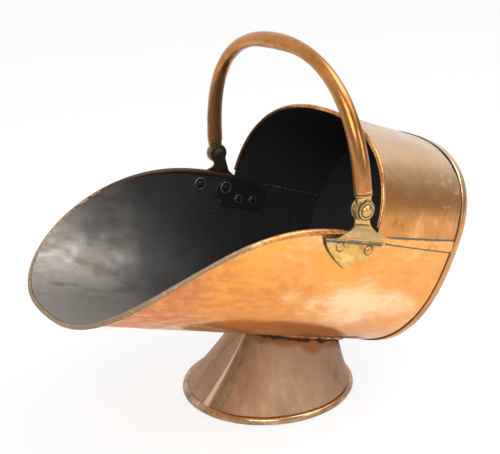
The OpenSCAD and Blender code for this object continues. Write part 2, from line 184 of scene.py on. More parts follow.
class Shader(NodeTree):
    """One material's tree, with the patterns that every finish here is made of."""

    def __init__(self, name: str, tilt: float = 0.0) -> None:
        """Starts a material.

        Args:
            name: The finish's own name.
            tilt: Turn of the pattern about the X axis, in degrees.
        """
        self.material = bpy.data.materials.new(name)
        self.material.use_nodes = True
        super().__init__(self.material.node_tree)
        coordinates = self.add("ShaderNodeTexCoord").outputs["Object"]
        turned = {"Vector": coordinates, "Rotation": (math.radians(tilt), 0.0, 0.0)}
        self.place = self.add("ShaderNodeMapping", turned).outputs[0]

    def cloud(self, size_mm: float, detail: float = 3.0,
              stretch: Sequence[float] = (1, 1, 1)) -> Any:
        """Adds a noise whose blotches are of a real size.

        Args:
            size_mm: Size of a blotch in millimetres.
            detail: Octaves of finer noise in it.
            stretch: Scale along each axis, under one where the blotches are drawn out.

        Returns:
            The noise's value, about 0.5 on average.
        """
        placed = self.add("ShaderNodeMapping", {"Vector": self.place, "Scale": tuple(stretch)})
        settings = {"Vector": placed.outputs[0], "Scale": 1 / (size_mm * MM), "Detail": detail}
        return self.add("ShaderNodeTexNoise", settings).outputs["Fac"]

    def span(self, value: Any, low: float, high: float, to_low: float = 0.0,
             to_high: float = 1.0) -> Any:
        """Maps a span of a value to another one, held at its ends.

        Args:
            value: The socket to map.
            low: Start of the span.
            high: End of the span.
            to_low: What the start becomes.
            to_high: What the end becomes.

        Returns:
            The mapped socket.
        """
        ends = {"From Min": low, "From Max": high, "To Min": to_low, "To Max": to_high}
        settings = {"Value": value, **ends}
        return self.add("ShaderNodeMapRange", settings, interpolation_type="SMOOTHSTEP").outputs[0]

    def math(self, operation: str, first: Any, second: Any) -> Any:
        """Works one value out of two.

        Args:
            operation: The math node's operation.
            first: A socket or a number.
            second: A socket or a number.

        Returns:
            The result's socket.
        """
        return self.add("ShaderNodeMath", {0: first, 1: second}, operation=operation).outputs[0]

    def axis(self, name: str) -> Any:
        """Returns one axis of the pattern's place, in metres."""
        return self.add("ShaderNodeSeparateXYZ", {0: self.place}).outputs[name]

    def bump(self, height: Any, depth_mm: float, below: Any = None) -> Any:
        """Adds relief of a real depth.

        Args:
            height: The relief, from 0 to 1.
            depth_mm: Its depth in millimetres.
            below: The relief that it lies on.

        Returns:
            The bent normal's socket.
        """
        inputs: dict[Any, Any] = {"Height": height, "Strength": 1.0, "Distance": depth_mm * MM}
        if below is not None:
            inputs["Normal"] = below
        return self.add("ShaderNodeBump", inputs).outputs[0]

    def principled(self, **inputs: Any) -> Any:
        """Adds a Principled surface.

        Args:
            inputs: Its inputs, with underscores for the spaces in their names.

        Returns:
            The surface's socket.
        """
        named = {key.replace("_", " "): value for key, value in inputs.items()}
        return self.add("ShaderNodeBsdfPrincipled", named).outputs[0]

    def close(self, surface: Any) -> bpy.types.Material:
        """Closes the tree.

        Args:
            surface: The socket of its surface.

        Returns:
            The finished material.
        """
        self.add("ShaderNodeOutputMaterial", {"Surface": surface})
        return self.material


@dataclass(frozen=True)
class AgedMetal:
    """Sheet or bar metal that was polished, handled and left to tarnish in patches.

    Three marks are painted on a piece's vertices: a stain, soot with painted shade, and rub with
    painted highlights and reflections, and the fields of these names are their colours. Sizes that
    end in mm are those of a pattern's blotches, and spans are between a low and a high value.
    """

    name: str
    bright: str
    middle: str
    deep: str
    stain: str
    soot: str = "#2b211b"
    rub_and_highlight: str = "#ffd9a6"
    fray: float = 0.4
    cloud_mm: float = 55.0
    cloud_share: float = 0.7
    spot_mm: float = 6.0
    spot_share: float = 0.4
    tones: tuple[float, float, float] = (0.34, 0.5, 0.66)
    run: tuple[float, float, float] = (1.0, 0.5, 1.0)
    gloss: tuple[float, float] = (0.2, 0.34)
    dent_mm: float = 38.0
    dent_depth: float = 0.5
    grain: tuple[float, float, float] = (1.0, 0.06, 1.0)
    grain_mm: float = 1.6
    grain_depth: float = 0.008
    pitting: float = 0.0042
    metallic: float = 1.0
    marked_metallic: float = 0.5
    marked_roughness: float = 0.25
    rub_and_highlight_share: float = 0.8
    # Paler top: a dull bloom and a painted reflection of the light overhead
    bloom: str = ""
    bloom_and_sheen_share: float = 0.7
    bloom_and_sheen_span: tuple[float, float] = (0.0, 1.0)
    bloom_and_sheen_drift: float = 0.04
    blush: str = ""
    blush_share: float = 0.6
    blush_mm: float = 90.0
    tilt: float = 19.7

    def tone(self, shader: Shader, clouds: Any, spots: Any) -> Any:
        """Adds the tarnish's clouds and spots up.

        Args:
            shader: The tree to add to.
            clouds: The wide pattern.
            spots: The fine one.

        Returns:
            A value about 0.5 on average, higher where the metal is brighter.
        """
        wide = shader.math("MULTIPLY", shader.math("SUBTRACT", clouds, 0.5), self.cloud_share)
        fine = shader.math("MULTIPLY", shader.math("SUBTRACT", spots, 0.5), self.spot_share)
        return shader.math("ADD", shader.math("ADD", wide, fine), 0.5)

    def mark(self, shader: Shader, name: str, spots: Any) -> Any:
        """Gives the ragged share of a painted mark.

        Args:
            shader: The tree to add to.
            name: The mark's attribute.
            spots: The pattern that frays its edge.

        Returns:
            The share's socket.
        """
        painted = shader.add("ShaderNodeAttribute", attribute_name=name).outputs["Fac"]
        frayed = shader.math("SUBTRACT", painted, shader.span(spots, 0.35, 0.65, 0.0, self.fray))
        return shader.span(frayed, 0.1, 0.5)

    def build(self) -> bpy.types.Material:
        """Builds the finish.

        Returns:
            The material.
        """
        shader = Shader(self.name, self.tilt)
        clouds = shader.cloud(self.cloud_mm, 4.0, self.run)
        spots = shader.cloud(self.spot_mm, 3.0, self.run)
        grain = shader.cloud(self.grain_mm, 2.0, self.grain)
        tone = self.tone(shader, clouds, spots)
        colour = shader.ramp(tone, tuple(zip(self.tones, (self.deep, self.middle, self.bright))))
        if self.blush:
            warm = shader.span(shader.cloud(self.blush_mm, 2.0), 0.42, 0.6, 0.0, self.blush_share)
            colour = shader.mix(warm, colour, self.blush)
        # Paler towards the top: a dull bloom and a painted reflection of the light overhead
        if self.bloom:
            drift = shader.math("MULTIPLY", clouds, self.bloom_and_sheen_drift)
            height = shader.math("ADD", shader.axis("Z"), drift)
            low, high = self.bloom_and_sheen_span
            share = shader.span(height, low * MM, high * MM, 0.0, self.bloom_and_sheen_share)
            colour = shader.mix(share, colour, self.bloom)
        # Pale mark: rubbed wear, and painted highlights and painted reflections on the bowl, hood
        # and foot
        rubbed_and_highlit = shader.math("MULTIPLY", self.mark(shader, RUB_AND_HIGHLIGHT, spots), self.rub_and_highlight_share)
        worn = self.mark(shader, STAIN, spots)
        # Dark mark: soot, and painted shade on the rolled edges, the foot and the bail
        sooty_and_shaded = self.mark(shader, SOOT_AND_SHADE, spots)
        for share, mark in ((rubbed_and_highlit, self.rub_and_highlight), (worn, self.stain), (sooty_and_shaded, self.soot)):
            colour = shader.mix(share, colour, mark)
        dull = shader.math("MAXIMUM", worn, sooty_and_shaded)
        smooth = shader.span(tone, self.tones[0], self.tones[2], self.gloss[1], self.gloss[0])
        dulled = shader.math("MULTIPLY", dull, self.marked_roughness)
        marked = self.metallic * self.marked_metallic
        relief = shader.bump(shader.cloud(self.dent_mm, 1.0), self.dent_depth)
        relief = shader.bump(spots, self.spot_mm * self.pitting, relief)
        surface = shader.principled(
            Base_Color=colour,
            Metallic=shader.span(dull, 0.0, 1.0, self.metallic, marked),
            Roughness=shader.math("ADD", smooth, dulled),
            Normal=shader.bump(grain, self.grain_depth, relief),
        )
        return shader.close(surface)


@dataclass(frozen=True)
class SootedAndShadedTin:
    """The tinned inside: dull grey at the lip, black further in with coal dust and painted shade.

    The three places along Y are where the grey ends, where it is painted dark and where it is
    black.
    """

    name: str = "tinned_inside_with_coal_dust_and_shade"
    lip: str = "#8e8982"
    worn: str = "#aaa59d"
    smudge: str = "#6c5b4c"
    dark: str = "#3c3b39"
    black: str = "#363636"
    lip_y: float = -215.0
    dark_y: float = -85.0
    black_y: float = 20.0
    # Slants the darkening, coal dust and painted shade, so that the far wall is darker
    slant: float = -0.35
    drift: float = 0.16
    scuff_share: float = 0.4
    deep_scuff_share: float = 0.14
    smudge_share: float = 0.65
    smudge_aside: tuple[float, float] = (0.0002, 0.0045)
    gloss: tuple[float, float] = (0.42, 0.52)
    metallic: tuple[float, float] = (0.9, 0.4)
    dent_depth: float = 0.5
    dust_depth: float = 0.03
    tilt: float = 19.7

    def smudged(self, shader: Shader) -> Any:
        """Gives the share of brown stain, which keeps to the two sides of the lip.

        Args:
            shader: The tree to add to.

        Returns:
            The share's socket.
        """
        streaks = shader.cloud(24.0, 4.0, (1.0, 0.4, 1.0))
        aside = shader.math("MULTIPLY", shader.axis("X"), shader.axis("X"))
        stained = shader.span(streaks, 0.5, 0.64, 0.0, self.smudge_share)
        return shader.math("MULTIPLY", stained, shader.span(aside, *self.smudge_aside))

    def build(self) -> bpy.types.Material:
        """Builds the finish.

        Returns:
            The material.
        """
        shader = Shader(self.name, self.tilt)
        scuffs = shader.cloud(9.0, 5.0, (1.0, 0.7, 1.0))
        clouds = shader.math("SUBTRACT", shader.cloud(60.0, 2.0), 0.5)
        drift = shader.math("MULTIPLY", clouds, self.drift)
        far = shader.math("MULTIPLY", shader.axis("X"), self.slant)
        along = shader.math("ADD", shader.math("ADD", shader.axis("Y"), far), drift)
        # Darker and then black further in: coal dust and painted shade
        depth = shader.span(along, self.lip_y * MM, self.dark_y * MM)
        blackened_and_shaded = shader.span(along, self.dark_y * MM, self.black_y * MM)
        paler = shader.span(scuffs, 0.4, 0.8, 0.0, self.scuff_share)
        colour = shader.mix(paler, self.lip, self.worn)
        colour = shader.mix(self.smudged(shader), colour, self.smudge)
        colour = shader.mix(depth, colour, self.dark)
        colour = shader.mix(blackened_and_shaded, colour, self.black)
        scuffed = shader.span(scuffs, 0.66, 0.78, 0.0, self.deep_scuff_share)
        relief = shader.bump(shader.cloud(30.0, 1.0), self.dent_depth)
        relief = shader.bump(scuffs, self.dust_depth, relief)
        surface = shader.principled(
            Base_Color=shader.mix(scuffed, colour, self.worn),
            Metallic=shader.span(depth, 0.0, 1.0, *self.metallic),
            Roughness=shader.span(scuffs, 0.35, 0.7, self.gloss[1], self.gloss[0]),
            Normal=shader.bump(shader.cloud(3.0, 3.0), self.dust_depth, relief),
        )
        return shader.close(surface)


class Finish(Enum):
    """The scuttle's finishes."""

    # Bright orange copper, wiped along its length, with soft dents that bend what it mirrors,
    # and painted shade as its soot mark, a redder, darker tone towards the lip
    # Its rub mark is a painted highlight on the swell and a painted reflection under the lip
    BOWL = AgedMetal(
        name="polished_copper_bowl",
        bright="#f9bd80",
        middle="#e8a059",
        deep="#d58446",
        stain="#7f4a26",
        rub_and_highlight="#ffdcb0",
        soot="#cb7a48",
        fray=0.15,
        cloud_share=0.5,
        spot_share=0.3,
        gloss=(0.15, 0.27),
        run=(1.0, 0.4, 1.0),
        blush="#f0a64d",
    )
    # Browner copper, handled and slightly dented, paler over its top with a dull bloom and a
    # painted reflection of the light overhead
    # Its rub mark is painted sheen on the shoulders and painted glints on the dents
    HOOD = AgedMetal(
        name="brown_copper_hood",
        bright="#dfa368",
        middle="#c7894f",
        deep="#a36c3b",
        stain="#6b4527",
        rub_and_highlight="#f3cf9f",
        fray=0.1,
        gloss=(0.18, 0.32),
        cloud_mm=42.0,
        cloud_share=0.6,
        spot_share=0.25,
        run=(1.0, 1.0, 0.6),
        bloom="#d8c2a4",
        bloom_and_sheen_span=(262.0, 330.0),
    )
    # Copper rolled round a wire: bright on its crown, browner along the lip
    # Its soot mark is painted shade in the crease, and soot with painted shade on the inner side
    WIRE = AgedMetal(
        name="rolled_copper_edge",
        bright="#dfa46b",
        middle="#c58853",
        deep="#986337",
        stain="#8f7a60",
        soot="#4a3320",
        cloud_mm=26.0,
        spot_mm=3.0,
        spot_share=0.6,
        dent_mm=14.0,
        dent_depth=0.25,
    )
    # Dull brown copper, streaked from top to bottom where damp ran down it, with painted shade as
    # its soot mark
    # Its rub mark is a painted highlight on the lap seam's crest
    FOOT = AgedMetal(
        name="dull_brown_copper_foot",
        bright="#bf9e80",
        middle="#a8886c",
        deep="#8c6a52",
        stain="#a0673e",
        soot="#2c2a29",
        rub_and_highlight="#efd6ba",
        fray=0.06,
        gloss=(0.54, 0.62),
        metallic=0.8,
        cloud_mm=26.0,
        cloud_share=0.4,
        spot_share=0.2,
        run=(1.0, 1.0, 0.12),
        grain=(1.0, 1.0, 0.06),
        tilt=0.0,
    )
    # Handled copper tube: a warm brown, worn smooth, with painted shade towards its legs' inner
    # sides
    BAIL = AgedMetal(
        name="handled_copper_bail",
        bright="#dca66c",
        middle="#bd8149",
        deep="#95592d",
        stain="#6a4426",
        soot="#7a4c26",
        fray=0.1,
        gloss=(0.16, 0.28),
        cloud_mm=46.0,
        cloud_share=0.5,
        spot_share=0.2,
        run=(0.5, 1.0, 0.5),
        dent_mm=22.0,
        dent_depth=0.12,
        tilt=0.0,
    )
    # Cast brass rubbed pale yellow on its faces, green-grey in its creases
    BRASS = AgedMetal(
        name="cast_brass_with_verdigris",
        bright="#ecc07c",
        middle="#d7a75e",
        deep="#ad7f42",
        stain="#55605a",
        soot="#40362a",
        rub_and_highlight="#fbd796",
        fray=0.15,
        gloss=(0.2, 0.34),
        cloud_mm=16.0,
        spot_mm=3.0,
        dent_mm=12.0,
        dent_depth=0.12,
        grain_depth=0.003,
        pitting=0.0015,
    )
    # Raw orange copper strip, its soldered edges gone green and brown
    SEAM = AgedMetal(
        name="orange_copper_strip",
        bright="#fbbb74",
        middle="#eca862",
        deep="#cf8846",
        stain="#5f6253",
        cloud_mm=30.0,
        cloud_share=0.4,
        spot_mm=3.5,
        dent_mm=16.0,
        dent_depth=0.25,
    )
    # The foot's rolled edge: brown like the foot, rubbed gold on its crown
    FOOT_WIRE = AgedMetal(
        name="rolled_foot_edge",
        bright="#d0ae88",
        middle="#ae8d6c",
        deep="#80664f",
        stain="#5b4030",
        cloud_mm=30.0,
        dent_mm=14.0,
        dent_depth=0.2,
        tilt=0.0,
    )
    # Tinned rivets and burrs: dull grey, rubbed a little paler than the sheet round them
    TIN = AgedMetal(
        name="tinned_rivets",
        bright="#a09a94",
        middle="#7d7872",
        deep="#55514d",
        stain="#2d2b29",
        soot="#1f1e1d",
        gloss=(0.34, 0.5),
        cloud_mm=9.0,
        spot_mm=2.0,
        dent_mm=8.0,
        dent_depth=0.1,
        metallic=0.7,
    )
    # Tinned sheet: dull grey at the lip, black further in with coal dust and painted shade
    INSIDE = SootedAndShadedTin()

    @cached_property
    def material(self) -> bpy.types.Material:
        """Returns the finish's material, built once."""
        return self.value.build()


# ---------------------------------------------------------------- helpers


def held(value: float) -> float:
    """Returns a value held between nothing and one."""
    return min(1.0, max(0.0, value))


def link(name: str, data: Any) -> bpy.types.Object:
    """Adds an object to the scene.

    Args:
        name: The object's name.
        data: Its mesh, lamp or camera.

    Returns:
        The object.
    """
    made = bpy.data.objects.new(name, data)
    bpy.context.scene.collection.objects.link(made)
    return made


def new_mesh() -> bmesh.types.BMesh:
    """Starts a mesh that can carry a column number and the marks of its finish.

    Returns:
        The empty bmesh.
    """
    bm = bmesh.new()
    bm.verts.layers.int.new(COLUMN)
    for mark in (STAIN, SOOT_AND_SHADE, RUB_AND_HIGHLIGHT):
        bm.verts.layers.float.new(mark)
    return bm


def everything(bm: bmesh.types.BMesh) -> list:
    """Returns all vertices, edges and faces of a mesh."""
    return bm.verts[:] + bm.edges[:] + bm.faces[:]


def only(kind: type, parts: Iterable) -> list:
    """Returns those parts of a mesh that are of one kind."""
    return [part for part in parts if isinstance(part, kind)]


def face_out(bm: bmesh.types.BMesh) -> None:
    """Turns the faces of a closed mesh outwards."""
    bmesh.ops.recalc_face_normals(bm, faces=bm.faces[:])
    bm.normal_update()


def loft(bm: bmesh.types.BMesh, columns: int, rows: int, place: Place) -> tuple[list, list]:
    """Extrudes a ring row after row, and sets each row in its place.

    Args:
        bm: The mesh to add to.
        columns: Vertices in a ring.
        rows: Number of rings.
        place: Gives the place of a vertex from its row and column.

    Returns:
        The edges of the first and of the last ring.
    """
    tag = bm.verts.layers.int[COLUMN]
    ring = bmesh.ops.create_circle(bm, cap_ends=False, radius=1.0, segments=columns)["verts"]
    for number, vert in enumerate(ring):
        vert[tag] = number
    first = list(dict.fromkeys(edge for vert in ring for edge in vert.link_edges))
    edges = first
    for row in range(rows):
        if row > 0:
            made = bmesh.ops.extrude_edge_only(bm, edges=edges)["geom"]
            ring = only(bmesh.types.BMVert, made)
            fresh = set(ring)
            edges = [e for e in only(bmesh.types.BMEdge, made) if fresh.issuperset(e.verts)]
        for vert in ring:
            vert.co = place(row, vert[tag])
    return first, edges


def mapped_sheet(
    bm: bmesh.types.BMesh, across: int, along: int, place: Callable[[float, float], Vector]
) -> None:
    """Bends a flat grid into a sheet.

    Args:
        bm: The empty mesh to fill.
        across: Segments across the sheet.
        along: Segments along it.
        place: Gives the place of a vertex from its two shares, each from 0 to 1.
    """
    bmesh.ops.create_grid(bm, x_segments=across, y_segments=along, size=0.5)
    for vert in bm.verts:
        vert.co = place(held(vert.co.x + 0.5), held(vert.co.y + 0.5))
    bm.normal_update()


def face_away(bm: bmesh.types.BMesh, centre: Callable[[Vector], Vector]) -> None:
    """Turns an open sheet so that its faces look away from a centre.

    Args:
        bm: The mesh of the sheet.
        centre: Gives the centre that a point looks away from.
    """
    middles = [(face.normal, face.calc_center_median()) for face in bm.faces]
    if sum(normal.dot(middle - centre(middle)) for normal, middle in middles) < 0:
        bmesh.ops.reverse_faces(bm, faces=bm.faces[:])
    bm.normal_update()


def give_thickness(bm: bmesh.types.BMesh, thickness: float, inner_slot: int = 0) -> None:
    """Gives a sheet its wall, inwards.

    Args:
        bm: The mesh of the sheet.
        thickness: The wall in millimetres.
        inner_slot: Material slot of the inner face.
    """
    outer = set(bm.faces)
    bmesh.ops.solidify(bm, geom=everything(bm), thickness=thickness * MM)
    for made in bm.faces:
        if made not in outer:
            made.material_index = inner_slot


def dent(bm: bmesh.types.BMesh, size_mm: float, depth_mm: float, seed: float,
         keep: Callable[[Vector], float] = lambda point: 1.0) -> None:
    """Knocks soft dents into a sheet, inwards only, so that it stays in its own size.

    Args:
        bm: The mesh of the sheet.
        size_mm: Size of a dent.
        depth_mm: Depth of the deepest one.
        seed: Shifts the pattern, so that no two sheets are alike.
        keep: Share of the depth that is knocked at a point.
    """
    shift = Vector((seed, seed * 0.7, -seed))
    for vert in bm.verts:
        knock = noise.noise(vert.co / (size_mm * MM) + shift)
        vert.co -= vert.normal * max(0.0, knock) * depth_mm * MM * keep(vert.co)


def paint(bm: bmesh.types.BMesh, amount: Callable[[Any], float], mark: str = STAIN,
          verts: Iterable | None = None) -> None:
    """Sets a painted mark at the points of a mesh: stain, soot and shade, or rub and highlights.

    Args:
        bm: The mesh.
        amount: Gives the mark at a vertex. What lies outside 0 to 1 is held at these ends.
        mark: The mark's attribute.
        verts: The vertices to paint, where it isn't all of them.
    """
    layer = bm.verts.layers.float[mark]
    for vert in bm.verts if verts is None else verts:
        vert[layer] = held(amount(vert))


def turn_part(bm: bmesh.types.BMesh, profile: Sequence[tuple[float, float]],
              place: Callable[[Vector], Vector], closed: bool = False) -> None:
    """Turns a round part from its profile, as on a lathe.

    Args:
        bm: The mesh to add to.
        profile: Distances along the X axis and radii, in millimetres.
        place: Puts a point of the lathe's frame in the scene.
        closed: Whether the profile runs back to its start, as a ring's does.
    """
    columns = 56

    def turned(row: int, column: int) -> Vector:
        """Returns a vertex's place from its row and column.

        Args:
            row: Number of the ring.
            column: Number of the vertex in it.

        Returns:
            The place in the scene's frame.
        """
        x, r = profile[row]
        angle = 2 * math.pi * column / columns
        return place(Vector((x, r * math.cos(angle), r * math.sin(angle))))

    first, last = loft(bm, columns, len(profile), turned)
    if closed:
        bmesh.ops.bridge_loops(bm, edges=first + last)
    else:
        cap(bm, first, last)


def cap(bm: bmesh.types.BMesh, *rings: list) -> None:
    """Closes open rings with a face each."""
    for ring in rings:
        bmesh.ops.edgeloop_fill(bm, edges=ring)


@dataclass
class Piece:
    """One finished piece of the scuttle."""

    name: str
    bm: bmesh.types.BMesh
    finishes: Sequence[Finish]
    slot: Slot
    nodes: Sequence[str]
    body: Body = Body.SCUTTLE
    sharp: float = 40.0

    def add(self) -> bpy.types.Object:
        """Makes the piece's object, and gives it its finish, its body and its nodes.

        Returns:
            The object.
        """
        for face in self.bm.faces:
            face.smooth = True
        for edge in self.bm.edges:
            if edge.is_manifold and edge.calc_face_angle(0.0) > math.radians(self.sharp):
                edge.smooth = False
        self.bm.verts.layers.int.remove(self.bm.verts.layers.int[COLUMN])
        mesh = bpy.data.meshes.new(self.name)
        self.bm.to_mesh(mesh)
        self.bm.free()
        for finish in self.finishes:
            mesh.materials.append(finish.material)
        made = link(self.name, mesh)
        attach(made, self.body.value)
        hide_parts(*self.nodes)
        nodes = ", ".join(self.nodes)
        LOG.info("%s: %d faces, stands for %s", self.name, len(mesh.polygons), nodes)
        return made


# ---------------------------------------------------------------- the body's form


@dataclass(frozen=True)
class BodyForm:
    """The form of the scuttle's body in its own frame, in millimetres.

    Y runs along the sloping body towards the back, and Z stands square to it.
    """

    tilt: float = math.radians(19.7)
    sheet: float = 1.5
    mouth_half: float = 139.5
    back_half: float = 126.5
    seam_h: float = 209.3
    lip_depth: float = 146.7
    back_depth: float = 135.7
    bowl_square: float = 2.55
    crest_y: float = -32.0
    lip_len: float = 254.5
    lip_power: float = 2.6
    hood_h: float = 107.8
    hood_back_h: float = 103.6
    hood_square: float = 2.34
    arch_y: float = -23.4
    back_y: float = 100.8
    back_lean: float = math.radians(7)
    pivot_h: float = 234.3
    pivot_y: float = -53.5
    ear_x: float = 137.0
    neck_y: float = 5.0
    bracket_rivets: tuple[tuple[float, float], ...] = ((-68, 194.8), (-32.5, 195.6))
    strip_front: float = -10.0
    strip_low: float = 5.4
    strip_rise: tuple[float, float] = (1.0, 8.0)

    @staticmethod
    def reach(angle: float, square: float) -> float:
        """Returns the radius of a unit superellipse at an angle."""
        return (abs(math.cos(angle)) ** square + abs(math.sin(angle)) ** square) ** (-1 / square)

    @staticmethod
    def width_at(height: float, square: float) -> float:
        """Returns the half width of a unit superellipse at a height."""
        return max(0.0, 1 - abs(height) ** square) ** (1 / square)

    def half_width(self, y: float) -> float:
        """Returns the body's half width at a place along it."""
        share = max(0.0, (y - self.arch_y) / (self.back_y - self.arch_y))
        return self.mouth_half - (self.mouth_half - self.back_half) * share**1.5

    def depth(self, y: float) -> float:
        """Returns the bowl's depth below the side seams at a place along the body."""
        whole = self.back_y - self.crest_y + self.lip_len
        return self.back_depth + (self.lip_depth - self.back_depth) * (self.back_y - y) / whole

    def rise(self, y: float) -> float:
        """Returns the hood's height above the side seams at a place along the body."""
        share = (y - self.arch_y) / (self.back_y - self.arch_y)
        return self.hood_h + (self.hood_back_h - self.hood_h) * share

    def bowl_point(self, angle: float, y: float, out: float = 0.0) -> Vector:
        """Gives a point of the bowl's section.

        Args:
            angle: From 0 at the left seam to pi at the right one.
            y: Place along the body.
            out: How far the point lies outside the sheet.

        Returns:
            The point in the body's frame.
        """
        r = self.reach(angle, self.bowl_square)
        x = (self.half_width(y) + out) * r * math.cos(angle)
        return Vector((x, y, self.seam_h - (self.depth(y) + out) * r * math.sin(angle)))

    def hood_point(self, angle: float, y: float, out: float = 0.0) -> Vector:
        """Gives a point of the hood's section.

        Args:
            angle: From 0 at the left seam to pi at the right one.
            y: Place along the body.
            out: How far the point lies outside the sheet.

        Returns:
            The point in the body's frame.
        """
        r = self.reach(angle, self.hood_square)
        x = (self.half_width(y) + out) * r * math.cos(angle)
        return Vector((x, y, self.seam_h + (self.rise(y) + out) * r * math.sin(angle)))

    def side_x(self, y: float, z: float) -> float:
        """Returns the body's half width at a place along it and a height.

        Args:
            y: The place along the body.
            z: The height.

        Returns:
            The half width.
        """
        if z < self.seam_h:
            share = self.width_at((self.seam_h - z) / self.depth(y), self.bowl_square)
        else:
            share = self.width_at((z - self.seam_h) / self.rise(y), self.hood_square)
        return self.half_width(y) * share

    def under_z(self, x: float, y: float) -> float:
        """Returns the height of the bowl's underside."""
        return self.seam_h - self.depth(y) * self.width_at(x / self.half_width(y), self.bowl_square)

    def rim_y(self, angle: float) -> float:
        """Returns where the rim cuts the line of the body at an angle of the bowl."""
        fall = abs(self.reach(angle, self.bowl_square) * math.sin(angle))
        return self.crest_y - self.lip_len * fall ** (1 / self.lip_power)

    def back_at(self, z: float) -> float:
        """Returns where the back plate cuts the body at a height."""
        return self.back_y + (z - self.seam_h) * math.tan(self.back_lean)

    def bowl_angle(self, share: float) -> float:
        """Returns an angle round the bowl, with the steps closer together near the seams."""
        k = 2 * share
        return math.pi / 2 * k**1.7 if k <= 1 else math.pi - math.pi / 2 * (2 - k) ** 1.7

    def strip_edges(self, y: float) -> tuple[float, float]:
        """Returns the heights of a side strip's lower and upper edge at a place along it.

        Args:
            y: The place along the body.

        Returns:
            The lower and the upper height.
        """
        share = max(0.0, (y - self.strip_front) / (self.back_y - self.strip_front))
        high = self.strip_rise[0] + (self.strip_rise[1] - self.strip_rise[0]) * share
        return self.seam_h - self.strip_low, self.seam_h + high

    def around_pivot(self, point: Vector) -> tuple[float, float]:
        """Returns a point's distance from the body's middle and its radius about the pivots."""
        place = self.to_body(point)
        return abs(place.x), math.hypot(place.y - self.pivot_y, place.z - self.pivot_h)

    def to_row(self, point: Vector) -> Vector:
        """Turns a point of the body's frame in millimetres into the scene's frame in metres."""
        return Matrix.Rotation(-self.tilt, 3, "X") @ (point * MM)

    def beside(self, side: Side, x: float, y: float, z: float) -> Vector:
        """Turns a point of the body's left side into the scene's point on either side."""
        return self.to_row(Vector((side.value * x, y, z)))

    def pivot(self) -> Vector:
        """Returns the middle of the pivots' axis, in the scene's frame."""
        return self.to_row(Vector((0, self.pivot_y, self.pivot_h)))

    def to_body(self, point: Vector) -> Vector:
        """Turns a point of the scene in metres into the body's frame in millimetres."""
        return Matrix.Rotation(self.tilt, 3, "X") @ (point / MM)

    def axis_at(self, point: Vector) -> Vector:
        """Returns the point of the body's middle line beside a point of the scene."""
        place = self.to_body(point)
        return self.to_row(Vector((0.0, place.y, self.seam_h)))


def bar_place(path: Sequence[Vector], radii: Sequence[float], sides: int, side: Vector,
              notch: float = 0.0, notch_at: float = 0.0) -> Place:
    """Gives the places of a round bar's rings along a path.

    Args:
        path: The bar's middle line.
        radii: The bar's radius at each point of it.
        sides: Vertices in a ring.
        side: A direction that the path never runs along.
        notch: Depth of a tucked crease along the bar, as a share of its radius.
        notch_at: Where the crease lies round the bar, in degrees.

    Returns:
        A function for loft.
    """

    def place(row: int, column: int) -> Vector:
        """Returns a vertex's place from its row and column.

        Args:
            row: Number of the ring.
            column: Number of the vertex in it.

        Returns:
            The place in the scene's frame.
        """
        ahead = path[min(row + 1, len(path) - 1)] - path[max(row - 1, 0)]
        across = ahead.cross(side).normalized()
        up = across.cross(ahead.normalized())
        angle = 2 * math.pi * column / sides
        away = (math.degrees(angle) - notch_at) / 15
        r = radii[row] * (1 - notch * math.exp(-away * away))
        return path[row] + up * (r * math.cos(angle)) + across * (r * math.sin(angle))

    return place


# ---------------------------------------------------------------- sub-assemblies


